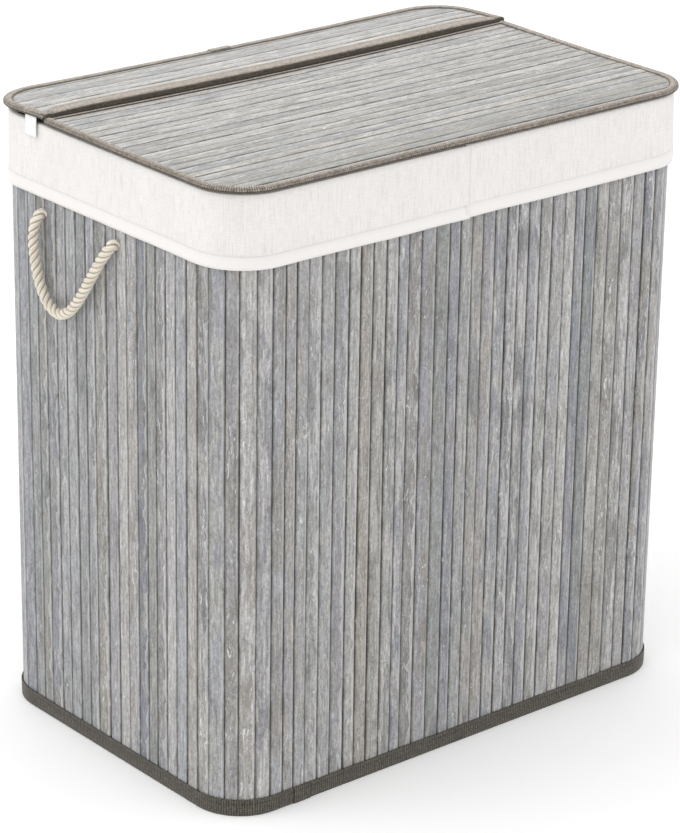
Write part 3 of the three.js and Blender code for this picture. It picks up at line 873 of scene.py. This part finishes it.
class HAMPER_OT_wall(bpy.types.Operator):
    """Stands the bamboo slats round the hamper, on the cloth that they are glued to"""

    bl_idname = "hamper.wall"
    bl_label = "Slatted wall"

    def execute(self, context):
        sizes = context.scene.hamper_wall
        rng = random.Random(sizes.seed)
        size = (sizes.width, sizes.depth, sizes.corner)
        total = round_length(*size)
        tall = sizes.top - sizes.foot
        template = slat_template(tall, sizes.thick, sizes.shoulder, 6)
        bm = bmesh.new()
        s = 0.0
        middle = (sizes.top + sizes.foot) / 2
        for index, width in enumerate(slat_widths(rng, total, sizes.slat, sizes.spread)):
            gap = sizes.gap * rng.uniform(0.2, 1.5)
            x0, y0, _ = rounded(*size, s + gap / 2)
            x1, y1, _ = rounded(*size, s + width - gap / 2)
            facing = math.atan2(y1 - y0, x1 - x0) - math.pi / 2
            proud = rng.uniform(-0.3, 0.1) * MM
            lean = rng.uniform(-0.015, 0.015)
            seed = rng.uniform(0, 100)
            out = Vector((math.cos(facing), math.sin(facing), 0))
            side = Vector((-out.y, out.x, 0))
            chord = math.dist((x0, y0), (x1, y1))

            def move(co):
                along = co.x * chord
                bend = 0.5 * MM * noise.noise(Vector((seed, co.z * 5, index)))
                depth = min(co.y - sizes.thick / 2 + proud + along * lean, 0.2 * MM)
                centre = Vector(((x0 + x1) / 2, (y0 + y1) / 2, middle + co.z))
                return centre + side * (along + bend) + out * depth

            lay_slat(bm, template, move, index, rng, width)
            s += width
        material = split_bamboo(
            "weathered split bamboo",
            ["#7e818a", "#a4a5a8", "#888b89", "#adaba7", "#959499", "#b5b3b2", "#9b9690", "#818284"],
            "#c6c6c6", "#dddde0", "#77736b", 0.145, -0.02,
        )
        piece(
            "wall_slats", bm, material, "hamper_body",
            ["wall_front", "wall_right", "wall_back", "wall_left"], flat_angle=60,
        )
        cloth = plain_cloth("dark cotton backing", "#6e6b64")
        bm = bmesh.new()

        def back(u, v):
            x, y, facing = rounded(*size, u * total)
            deep = sizes.thick + sizes.cloth / 2 + 0.00005
            z = sizes.foot + v * tall
            return Vector((x - deep * math.cos(facing), y - deep * math.sin(facing), z))

        sheet_of(bm, total, tall, 240, 6, back)
        bmesh.ops.remove_doubles(bm, verts=bm.verts[:], dist=0.00005)
        thicken(bm, bm.faces[:], sizes.cloth * 0.9)
        backing = piece("wall_backing", bm, cloth, "hamper_body")
        return {"FINISHED"}


def tape_sweep(size, start, end, section, step, closed=False, base=0.0):
    """A tape whose section is drawn out along a rounded outline."""
    frames = []
    for s in outline_stations(start, end, step):
        x, y, facing = rounded(*size, s)
        frames.append(upright_frame(x, y, base, facing))
    bm = bmesh.new()
    sweep(bm, section, frames, closed)
    return bm


def channel_section(out, inward, high, thick, ridge):
    """A tape folded round the foot, from its inner side round the edge to its outer one, whose
    upper edge has a stitched ridge."""
    # The third numbers are painted shade: in the groove beside the stitched ridge, and on the outer leg's
    # inner face.
    return [
        (inward + thick, thick), (inward + thick, high), (inward, high), (inward, thick),
        (inward + thick, 0), (out - thick, 0), (out, thick), (out + ridge * 0.5, high * 0.4),
        (out + ridge * 0.6, high * 0.66), (out + ridge * 0.1, high * 0.74, 0.35),
        (out + ridge, high * 0.82), (out + ridge * 0.6, high - 0.0004), (out - thick * 0.6, high),
        (out - thick, high - 0.0003, 1.0), (out - thick, thick, 1.0),
    ]


class HAMPER_OT_foot(bpy.types.Operator):
    """Binds the foot and the rim with woven tape, and lays the base"""

    bl_idname = "hamper.foot"
    bl_label = "Foot, rim and base"

    def execute(self, context):
        sizes = context.scene.hamper_wall
        size = (sizes.width, sizes.depth, sizes.corner)
        total = round_length(*size)
        # The last colour is painted shade in the tape's folds and grooves.
        tape = woven_tape("brown cotton binding tape", "#3d3a34", "#625d55", "#24211d", 2.4)
        wall = sizes.thick + sizes.cloth
        section = channel_section(1.2 * MM, -wall - 1.2 * MM, sizes.binding, 0.9 * MM, 0.4 * MM)
        bm = tape_sweep(size, 0, total, section, 0.006, True)
        for vert in bm.verts:
            if vert.co.z > 0.012:
                vert.co.z += 0.0004 * sway(*vert.co, 45, 2.0)
        piece("foot_binding", bm, tape, "hamper_body", ["foot_tape"], flat_angle=50)
        seam = -(sizes.width / 2 - sizes.corner) + 0.023
        lap = channel_section(2.3 * MM, -wall - 1.2 * MM, sizes.binding * 1.01, 0.9 * MM, 0.4 * MM)
        bm = tape_sweep(size, seam, seam + 0.02, lap, 0.004)
        piece("foot_binding_lap", bm, tape, "hamper_body", flat_angle=50)

        rim = 606.9 * MM
        section = [
            (x, rim - z)
            for x, z in (
                (0.9 * MM, 15 * MM), (0.9 * MM, 0.3 * MM), (0.6 * MM, 0), (-wall - 0.6 * MM, 0),
                (-wall - 0.9 * MM, 0.3 * MM), (-wall - 0.9 * MM, 15 * MM), (-wall - 0.3 * MM, 15 * MM),
                (-wall - 0.3 * MM, 0.6 * MM), (0.3 * MM, 0.6 * MM), (0.3 * MM, 15 * MM),
            )
        ]
        bm = tape_sweep(size, 0, total, section, 0.009, True)
        piece("rim_binding", bm, tape, "hamper_body", ["rim_tape"], flat_angle=50)

        inner = wall + 1.5 * MM
        felt = plain_cloth("dark felted base cloth", "#57524c", 1.2)
        bm = bmesh.new()
        bmesh.ops.create_circle(bm, cap_ends=True, segments=72, radius=1)
        thread = bm.verts.layers.float_vector.new("thread")
        for i, vert in enumerate(bm.verts):
            angle = math.atan2(vert.co.y, vert.co.x)
            x, y, facing = rounded(*size, (angle / (2 * math.pi) + 0.25) * total)
            vert.co = (x - inner * math.cos(facing), y - inner * math.sin(facing), 0.0004)
            vert[thread] = vert.co
        faces = bmesh.ops.inset_region(bm, faces=bm.faces[:], thickness=0.006)["faces"]
        for vert in {v for face in bm.faces if face not in faces for v in face.verts}:
            vert.co.z = 0.0006
        thicken(bm, bm.faces[:], 0.0006)
        base = piece("base_felt", bm, felt, "hamper_body", ["base_cloth"], smooth=False)
        board = solid_look(
            "pressed hardboard", "#a9977c", "#7d6b52", 0.8, (2.0, 2.0, 2.0), 0.6, 0.15, 0.25
        )
        dress("base_board", board)
        dress("divider_rod", solid_look(
            "sanded beech", "#cfae7e", "#a98454", 0.5, (1.2, 28.0, 1.2), 0.7, 0.1
        ))
        plastic = solid_look(
            "moulded black plastic", "#2b2a29", "#222120", 0.45, (0.8, 0.8, 0.8), 0.5, 0.05
        )
        dress("rod_socket_front", plastic)
        dress("rod_socket_back", plastic)
        return {"FINISHED"}


def bag_ring(sign, divider, inset, sizes, wall, count):
    """Evenly spaced points round a bag, drawn in from the wall by an inset."""
    side = wall.thick + wall.cloth + 1.7 * MM + inset
    left, right = -wall.width / 2 + side, -divider - sizes.cloth / 2
    front, back = -wall.depth / 2 + side, wall.depth / 2 - side
    outer, inner = wall.corner - wall.thick - wall.cloth - 1.7 * MM, sizes.corner
    line = []
    for x, y, radius, start in (
        (left + outer, front + outer, outer, 180), (right - inner, front + inner, inner, 270),
        (right - inner, back - inner, inner, 0), (left + outer, back - outer, outer, 90),
    ):
        for k in range(13):
            angle = math.radians(start + 7.5 * k)
            line.append(Vector((x + radius * math.cos(angle), y + radius * math.sin(angle), 0)))
    line.append(line[0].copy())
    ring, around = spaced(line, count=count)
    middle = Vector(((left + right) / 2, 0, 0))
    return [Vector((-sign * p.x, p.y, 0)) for p in ring], Vector((-sign * middle.x, 0, 0)), around


class HAMPER_OT_liners(bpy.types.Operator):
    """Hangs the two cotton bags, with their cuffs over the rim and their flaps over the rod"""

    bl_idname = "hamper.liners"
    bl_label = "Liner bags"

    def execute(self, context):
        sizes, wall = context.scene.hamper_liner, context.scene.hamper_wall
        linen = linen_cotton("off-white linen cotton", "#e6e3e0", "#d8d4d2", "#eae7e5")
        for side, sign in (("left", -1), ("right", 1)):
            self.cuff(side, sign, sizes, wall, linen)
            self.bag(side, sign, sizes, wall, linen)
        return {"FINISHED"}

    def cuff(self, side, sign, sizes, wall, linen):
        """The part of a bag that turns out over the rim, down to its doubled hem. The left one
        laps over the right one, a little to the left of the middle of the front and the back."""
        body = (wall.width, wall.depth, wall.corner)
        inside = -wall.thick - wall.cloth - 1.7 * MM
        hem = sizes.top - sizes.drop + (1.2 * MM if sign > 0 else 0)
        stitch = hem + sizes.hem
        profile = [
            (inside - 0.9 * MM, sizes.top - 17 * MM), (inside, sizes.top - 12 * MM),
            (inside, sizes.top - 1.2 * MM), (inside + 0.8 * MM, sizes.top - 0.5 * MM),
            (1.0 * MM, sizes.top - 0.5 * MM), (1.6 * MM, sizes.top - 1.2 * MM),
            (1.75 * MM, sizes.top - 6 * MM), (1.9 * MM, stitch + 20 * MM),
            (2.0 * MM, stitch + 1.6 * MM), (1.6 * MM, stitch + 0.8 * MM), (1.6 * MM, stitch),
            (2.8 * MM, stitch - 1.4 * MM), (3.1 * MM, hem + 3 * MM), (2.5 * MM, hem),
        ]
        steps = [(a, max(1, round(math.dist(a, b) / (4 * MM))), b) for a, b in zip(profile, profile[1:])]
        rows = [(a, k / n, b) for a, n, b in steps for k in range(n)] + [(profile[-2], 1.0, profile[-1])]
        down = sum(math.dist(a, b) for a, b in zip(profile, profile[1:]))
        total = round_length(*body)
        lap = -sizes.seam if sign < 0 else sizes.seam + sizes.lap
        half = total / 2 + 2 * lap

        def doubled(v):
            """0 on the single cloth, 0.5 along the stitching and 1 on the hem."""
            a, part, b = rows[round(v * (len(rows) - 1))]
            low = stitch + 0.5 * MM - (a[1] + (b[1] - a[1]) * part)
            return min(1, max(0, 0.5 + low / (3 * MM))) * (a[0] > 1.5 * MM) * (low > -1.2 * MM)

        def place(u, v):
            a, part, b = rows[round(v * (len(rows) - 1))]
            out, z = a[0] + (b[0] - a[0]) * part, a[1] + (b[1] - a[1]) * part
            s = sign * (u * half - lap)
            x, y, facing = rounded(*body, s)
            ends = min(u, 1 - u) * half
            if out > 0:
                low = min(1, max(0, (sizes.top - z) / sizes.drop))
                wave = sway(s, z * 0.25, 0, 55, 1.3 + sign) + 0.5 * sway(s, z * 0.6, 0, 19, 4.1)
                out += sizes.ripple * low * max(-0.25, 0.35 + wave)
                z += 0.9 * MM * low * sway(s, 0, 0, 130, 7.7)
                if sign < 0:
                    out += 1.2 * MM * (1 - min(1, ends / (22 * MM))) ** 0.5
            return Vector((x + out * math.cos(facing), y + out * math.sin(facing), z))

        bm = bmesh.new()
        sheet_of(bm, half, down, 230, len(rows) - 1, place, doubled)
        thicken(bm, bm.faces[:], sizes.cloth * 0.85)
        cuff = piece(f"cuff_{side}", bm, linen, "hamper_body", [f"liner_{side}"])

    def bag(self, side, sign, sizes, wall, linen):
        """The bag itself, which hangs in soft folds, and its flap over the rod."""
        radius = sizes.rod + (0.3 if sign < 0 else 1.6) * MM
        foot, brim = sizes.bottom + 1.0 * MM, sizes.top - 14.5 * MM
        levels = [(brim, 0.0), (brim - 21 * MM, 12 * MM), (brim - 42 * MM, sizes.inset)]
        levels += [(brim + (foot - brim) * k / 10, sizes.inset + 3 * MM * k / 10) for k in range(2, 10)]
        levels += [(foot + 14 * MM, 27.5 * MM), (foot + 5 * MM, 29 * MM), (foot, 33 * MM)]
        count = 150
        rings = [bag_ring(sign, radius, inset, sizes, wall, count) for _, inset in levels]
        shrink = [0.85, 0.68, 0.5, 0.32, 0.16, 0.0]
        rows = len(levels) + len(shrink)
        down = brim - foot + 0.5 * (wall.depth / 2)
        depth = wall.depth - 2 * 60 * MM

        def place(u, v):
            row = round(v * (rows - 1))
            ring, middle, _ = rings[min(row, len(rings) - 1)]
            point = ring[round(u * count) % count].copy()
            if row < len(levels):
                fall = min(1, row / 3) * (1 - max(0, row - 11) / 4)
                hang = 0.5 + sway(point.x, point.y, levels[row][0] * 0.12, 60, 2.2 + sign)
                point += (middle - point).normalized() * 7 * MM * fall * max(0, hang)
                point.z = levels[row][0]
            else:
                share = shrink[row - len(levels)]
                point = middle + (point - middle) * share
                point.z = foot + 2.5 * MM * max(0, 0.4 + sway(point.x, point.y, 0, 42, 5.5)) * (share > 0)
            return point

        bm = bmesh.new()
        around = rings[0][2]
        sheet_of(bm, around, down, count, rows - 1, place)
        bmesh.ops.remove_doubles(bm, verts=bm.verts[:], dist=0.00002)
        thicken(bm, bm.faces[:], sizes.cloth * 0.85)
        bag = piece(f"bag_{side}", bm, linen, "hamper_body")

        turn = radius + sizes.cloth / 2
        near = [(-turn - 1.2 * MM, -9 * MM), (-turn - 1.0 * MM, -3 * MM)]
        over = [
            (-turn * math.cos(math.pi * k / 12), turn * math.sin(math.pi * k / 12)) for k in range(13)
        ]
        far = [(turn + 0.1 * MM * k, -sizes.flap * k / 6) for k in range(1, 7)]
        line = near + over + far
        long = sum(math.dist(a, b) for a, b in zip(line, line[1:]))
        half = wall.depth / 2 - 38 * MM
        height = sizes.rod_height

        def fold(u, v):
            row = round(v * (len(line) - 1))
            x, z = line[row]
            y = (2 * u - 1) * half
            loose = max(0, row - len(near) - len(over) + 1) / 6
            x += 1.6 * MM * loose * max(0, 0.3 + sway(y, 0, 0, 40, 3.1 + sign))
            return Vector((-sign * x, y, height + z))

        bm = bmesh.new()
        sheet_of(bm, 2 * half, long, 60, len(line) - 1, fold)
        thicken(bm, bm.faces[:], sizes.cloth * 0.85)
        flap = piece(f"rod_flap_{side}", bm, linen, "hamper_body")


def lean_back(bm, sizes, wall):
    """Stands the rear panel on its back edge, leaning up to the ridge, with its middle a little
    higher than its ends."""
    back = wall.depth / 2 + sizes.overhang
    lean = Matrix.Rotation(-math.asin(sizes.rise / sizes.rear), 4, "X")
    place = Matrix.Translation((0, back, sizes.foot)) @ lean @ Matrix.Translation((0, -back, 0))
    bmesh.ops.transform(bm, matrix=place, verts=bm.verts[:])
    for vert in bm.verts:
        ends = abs(vert.co.x / (wall.width / 2 + sizes.overhang)) ** 8
        vert.co.z += (0.5 * MM - 3.2 * MM * ends) * (back - vert.co.y) / sizes.rear


def bow(x, y, sizes, wall):
    """How far the lid has bowed: the ends of its ridge stand up and its middle hangs down."""
    hinge = wall.depth / 2 + sizes.overhang - sizes.rear
    near = max(0, 1 - (hinge - y) / (150 * MM)) ** 2 if y < hinge else 1 - 0.4 * (y - hinge) / sizes.rear
    out = min(1, (x / (wall.width / 2)) ** 2)
    return near * (sizes.bow * out - sizes.sag * (1 - out))


class HAMPER_OT_lid(bpy.types.Operator):
    """Lays the lid's slats, binds both panels and covers the ridge between them"""

    bl_idname = "hamper.lid"
    bl_label = "Lid"

    def execute(self, context):
        sizes, wall = context.scene.hamper_lid, context.scene.hamper_wall
        rng = random.Random(sizes.seed)
        bamboo = split_bamboo(
            "pale weathered split bamboo",
            ["#a4a5a8", "#c0bfbe", "#abaca9", "#c7c4bf", "#b3b2b4", "#d1cfcb", "#b9b4ac", "#9e9e9c"],
            "#e2e0dc", "#efede9", "#8b877f", 0.12, -0.03,
        )
        # The last colour is painted shade for the tape's sides, grooves and folds.
        tape = woven_tape("brown cotton lid tape", "#8d8378", "#cfc5ba", "#3d382f", 2.3)
        board = solid_look(
            "grey lining card", "#8f8a80", "#7b766c", 0.85, (3.0, 3.0, 3.0), 0.4, 0.1, 0.2
        )
        for panel in ("flap", "rear"):
            self.slats(panel, sizes, wall, rng, bamboo)
            self.binding(panel, sizes, wall, tape)
            self.card(panel, sizes, wall, board)
        self.ridge(sizes, wall, tape)
        return {"FINISHED"}

    def finish(self, bm, name, panel, sizes, wall, material, replaced, slot):
        """Sets a panel's piece in its place."""
        if panel == "rear":
            lean_back(bm, sizes, wall)
        else:
            bmesh.ops.translate(bm, vec=(0, 0, sizes.foot), verts=bm.verts[:])
        for vert in bm.verts:
            vert.co.z += bow(vert.co.x, vert.co.y, sizes, wall)
        return piece(name, bm, material, f"lid_{panel}", replaced, flat_angle=50)

    def slats(self, panel, sizes, wall, rng, bamboo):
        """One row of slats, cut to the panel's rounded corners."""
        width, depth = wall.width + 2 * sizes.overhang, wall.depth + 2 * sizes.overhang
        hinge = depth / 2 - sizes.rear
        inset = 1.2 * MM
        front = -depth / 2 + inset if panel == "flap" else hinge + inset
        back = hinge - inset if panel == "flap" else depth / 2 - inset
        radius = sizes.corner - inset
        template = slat_template(1.0, 2.0 * MM, sizes.shoulder, 9)
        bm = bmesh.new()
        y = front
        for index, wide in enumerate(slat_widths(rng, back - front, sizes.slat, sizes.spread)):
            gap = sizes.gap * rng.uniform(0.2, 2.0)
            proud = rng.uniform(-0.35, 0.2) * MM
            seed = rng.uniform(0, 100)
            low = y + gap / 2

            def move(co):
                across = low + (co.x + 0.5) * (wide - gap)
                deep = max(0, radius - (depth / 2 - abs(across) - inset))
                half = width / 2 - inset - radius + math.sqrt(max(0, radius**2 - deep**2))
                bend = 0.35 * MM * noise.noise(Vector((seed, co.z * 4, index)))
                return Vector((co.z * 2 * half, across + bend, 4.0 * MM + co.y + proud))

            lay_slat(bm, template, move, index + (50 if panel == "rear" else 0), rng, wide)
            y += wide
        grain = bm.verts.layers.float_vector["grain"]
        for vert in bm.verts:
            vert[grain] = (vert[grain].x, vert.co.x + vert[grain].z, vert[grain].z)
        self.finish(
            bm, f"{panel}_slat_row", panel, sizes, wall, bamboo, [f"{panel}_slats"], "lid_bamboo"
        )

    def card(self, panel, sizes, wall, board):
        """The stiff card under the slats, whose edges the tape covers."""
        width, depth = wall.width + 2 * sizes.overhang, wall.depth + 2 * sizes.overhang
        hinge = depth / 2 - sizes.rear
        front, back = (-depth / 2 + MM, hinge - MM) if panel == "flap" else (hinge + MM, depth / 2 - MM)
        radius = sizes.corner - MM
        bm = bmesh.new()
        for vert in bmesh.ops.create_grid(bm, x_segments=32, y_segments=48, size=0.5)["verts"]:
            y = front + (vert.co.y + 0.5) * (back - front)
            deep = max(0, radius - (depth / 2 - MM - abs(y)))
            half = width / 2 - MM - radius + math.sqrt(max(0, radius**2 - deep**2))
            vert.co = (vert.co.x * 2 * half, y, 1.9 * MM)
        thicken(bm, bm.faces[:], -1.0 * MM)
        self.finish(bm, f"{panel}_card", panel, sizes, wall, board, [f"{panel}_board"], "board")

    def binding(self, panel, sizes, wall, tape):
        """The tape folded round a panel's three free edges, and where its ends overlap."""
        width, depth = wall.width + 2 * sizes.overhang, wall.depth + 2 * sizes.overhang
        size = (width, depth, sizes.corner)
        total = round_length(*size)
        hinge = depth / 2 - sizes.rear - (1.1 * MM if panel == "flap" else 0)
        corner_end = width / 2 - sizes.corner + sizes.corner * math.pi / 2
        end = corner_end + hinge + depth / 2 - sizes.corner
        start, end = (-end, end) if panel == "flap" else (end, total - end)
        section = self.tape_section(sizes, 0)
        bm = tape_sweep(size, start, end, section, 0.006)
        for vert in bm.verts:
            vert.co.z += 0.25 * MM * sway(vert.co.x, vert.co.y, 0, 38, 6.1)
        name = f"{panel}_binding"
        self.finish(bm, name, panel, sizes, wall, tape, [f"{panel}_tape"], "binding_tape")
        if panel == "rear":
            lap = total / 2 - 5 * MM
            bm = tape_sweep(size, lap, lap + 24 * MM, self.tape_section(sizes, 1.1 * MM), 0.006)
            self.finish(bm, "rear_binding_lap", panel, sizes, wall, tape, (), "binding_tape")

    def tape_section(self, sizes, extra):
        """The outline of the tape: a crowned top, a stitched groove along its side and an inner edge.
        Its third numbers paint shade on the tape's side, in the groove and along the inner edge."""
        wide, low, high = sizes.binding, 1.6 * MM, sizes.thick
        return [
            (-1.2 * MM, low + 0.5 * MM, 1.0), (-wide, low + 0.5 * MM), (-wide, low),
            (-1.6 * MM, low, 0.9), (-0.5 * MM, low + 0.3 * MM, 0.9), (extra, low + 0.8 * MM, 0.85),
            (extra, low + 1.1 * MM, 0.7), (extra - 0.7 * MM, low + 1.5 * MM, 1.0),
            (extra, low + 1.9 * MM, 0.5), (extra, low + 2.7 * MM, 0.5),
            (extra - 0.4 * MM, high - 0.6 * MM, 0.6), (extra - 1.3 * MM, high + 0.2 * MM, 0.5),
            (-2.9 * MM, high + extra + 0.9 * MM, 0.25),
            (-wide / 2 - 0.9 * MM, high + extra + 1.0 * MM, 0.0),
            (-wide + 1.9 * MM, high + extra + 0.5 * MM, 0.05),
            (-wide + 1.1 * MM, high - 0.4 * MM, 0.8), (-wide + 0.5 * MM, high - 0.3 * MM, 0.5),
            (-wide, high - 0.75 * MM, 1.0), (-wide, high - 0.9 * MM, 1.0),
            (-1.2 * MM, high - 0.8 * MM, 1.0),
        ]

    def ridge(self, sizes, wall, tape):
        """The tape over the rear panel's raised edge, and the leaf that drops to the flap."""
        depth = wall.depth + 2 * sizes.overhang
        hinge = depth / 2 - sizes.rear
        side = wall.width / 2 + sizes.overhang
        half = side - 1.2 * MM
        wide, top = sizes.ridge + 2 * MM, sizes.thick
        turn = Matrix(((0, 0, 1), (1, 0, 0), (0, 1, 0))).to_4x4()
        stations = outline_stations(-half, half, 4 * MM)
        # Third numbers paint shade: down the band's front face at the ridge, along its back edge and in its
        # groove.
        band = [
            (wide, top - 0.5 * MM, 1.0), (wide - 0.3 * MM, top + 0.1 * MM, 0.4),
            (wide - 1.5 * MM, top + 0.6 * MM), (wide - 3.4 * MM, top + 0.7 * MM),
            (wide - 4.4 * MM, top + 0.3 * MM, 0.35), (wide - 5.4 * MM, top + 0.7 * MM, 0.1),
            (wide / 2, top + 0.75 * MM), (3 * MM, top + 0.75 * MM),
            (1.2 * MM, top + 0.5 * MM, 0.0), (0.3 * MM, top - 0.2 * MM, 0.2), (0, top - 1.2 * MM, 0.9),
            (0, 0.8 * MM, 1.0), (0.6 * MM, 0), (wide, 0), (wide, 0.5 * MM), (0.8 * MM, 0.5 * MM, 1.0),
            (0.8 * MM, top - 0.6 * MM, 1.0), (1.4 * MM, top - 0.3 * MM, 1.0),
        ]
        frames = []
        for x in stations:
            near = min(1, (half - abs(x)) / (26 * MM))
            ease = near * near * (3 - 2 * near)
            pucker = (1 - ease) * 0.6 * MM * math.sin(x / MM * 1.1)
            shift = Matrix.Translation((x, hinge, pucker * 0.5))
            shape = Matrix.Diagonal((1, 0.34 + 0.66 * ease, 0.94 + 0.06 * ease, 1))
            frames.append(shift @ shape @ turn)
        bm = bmesh.new()
        sweep(bm, band, frames)
        thread = bm.verts.layers.float_vector["thread"]
        # Towards the puckered ends the band gets more painted shade.
        for vert in bm.verts:
            end = max(0, 1 - (half - abs(vert.co.x)) / (14 * MM))
            vert[thread] = (*vert[thread].xy, min(1, vert[thread].z + 0.9 * end))
        self.finish(bm, "ridge_band", "rear", sizes, wall, tape, ["hinge_tape"], "binding_tape")

        foot, face = top - 0.5 * MM, -0.9 * MM
        crest = top + sizes.rise - 0.6 * MM
        # Third numbers paint the leaf's face dark as shade, and a painted shadow line where it meets the
        # slats.
        leaf = [
            (-0.2 * MM, foot), (-0.2 * MM, crest - 0.3 * MM), (face + 0.3 * MM, crest, 0.6),
            (face, crest - 0.4 * MM, 0.95), (face - 0.2 * MM, foot + 3.5 * MM, 0.9),
            (face - 0.1 * MM, foot + 1.0 * MM, 1.0), (face - 0.6 * MM, foot + 1.1 * MM, 0.3),
            (face - 1.6 * MM, foot + 1.1 * MM, 0.0), (face - 2.6 * MM, foot + 0.9 * MM, 0.1),
            (face - 3.0 * MM, foot + 0.5 * MM, 1.0), (face - 4.2 * MM, foot + 0.1 * MM, 1.0),
            (face - 0.5 * MM, foot, 1.0),
        ]
        frames = []
        for x in stations:
            rise = (sizes.rise + 0.5 * MM - 3.2 * MM * abs(x / side) ** 8) / sizes.rise
            tall = Matrix.Translation((0, 0, foot)) @ Matrix.Diagonal((1, 1, rise, 1))
            shift = Matrix.Translation((x, hinge, 0)) @ tall @ Matrix.Translation((0, 0, -foot))
            frames.append(shift @ turn)
        bm = bmesh.new()
        sweep(bm, leaf, frames)
        self.finish(bm, "hinge_drop", "flap", sizes, wall, tape, ["hinge_leaf"], "binding_tape")


class HAMPER_OT_tabs(bpy.types.Operator):
    """Hangs the bare white cloth tabs under the lid's sides"""

    bl_idname = "hamper.tabs"
    bl_label = "Cloth tabs"

    def execute(self, context):
        lid, wall = context.scene.hamper_lid, context.scene.hamper_wall
        cloth = plain_cloth("white woven tab", "#f0f0ef", 0.8, 0.8)
        for side, sign in (("left", -1), ("right", 1)):
            low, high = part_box(f"tab_{side}")
            bm = bmesh.new()
            out = sign * max(abs(low.x), abs(high.x))
            tall = high.z - low.z + 4 * MM

            def tab(u, v):
                y = low.y + 0.0012 + u * (high.y - low.y - 0.0024)
                z = high.z - 0.0006 - v * tall + bow(out, y, lid, wall)
                curl = 0.0006 * math.sin(3 * u) * v
                return Vector((out + sign * (0.0001 + 0.001 * v - curl), y, z))

            sheet_of(bm, high.y - low.y, tall, 10, 8, tab)
            thicken(bm, bm.faces[:], 0.0005)
            obj = piece(f"tab_{side}_cloth", bm, cloth, "lid_rear", [f"tab_{side}"])
        return {"FINISHED"}


class HAMPER_PT_panel(bpy.types.Panel):
    """Lists the steps that make the hamper"""

    bl_label = "Laundry hamper"
    bl_idname = "HAMPER_PT_panel"
    bl_space_type = "VIEW_3D"
    bl_region_type = "UI"
    bl_category = "Hamper"

    def draw(self, context):
        for step in STEPS:
            self.layout.operator(step.bl_idname)


STEPS = (
    HAMPER_OT_stage,
    HAMPER_OT_ropes,
    HAMPER_OT_wall,
    HAMPER_OT_foot,
    HAMPER_OT_liners,
    HAMPER_OT_lid,
    HAMPER_OT_tabs,
)
GROUPS = {
    "hamper_wall": WallSizes,
    "hamper_liner": LinerSizes,
    "hamper_lid": LidSizes,
    "hamper_rope": RopeSizes,
    "hamper_colours": HamperColours,
    "hamper_stage": StageSizes,
}


def register():
    for group in (*GROUPS.values(), *STEPS, HAMPER_PT_panel):
        bpy.utils.register_class(group)
    for name, group in GROUPS.items():
        setattr(bpy.types.Scene, name, PointerProperty(type=group))


def unregister():
    for name in GROUPS:
        delattr(bpy.types.Scene, name)
    for group in (HAMPER_PT_panel, *reversed(STEPS), *reversed(GROUPS.values())):
        bpy.utils.unregister_class(group)


def main():
    register()
    bpy.ops.hamper.stage()
    bpy.ops.hamper.ropes()
    bpy.ops.hamper.wall()
    bpy.ops.hamper.foot()
    bpy.ops.hamper.liners()
    bpy.ops.hamper.lid()
    bpy.ops.hamper.tabs()


if __name__ == "__main__":
    main()
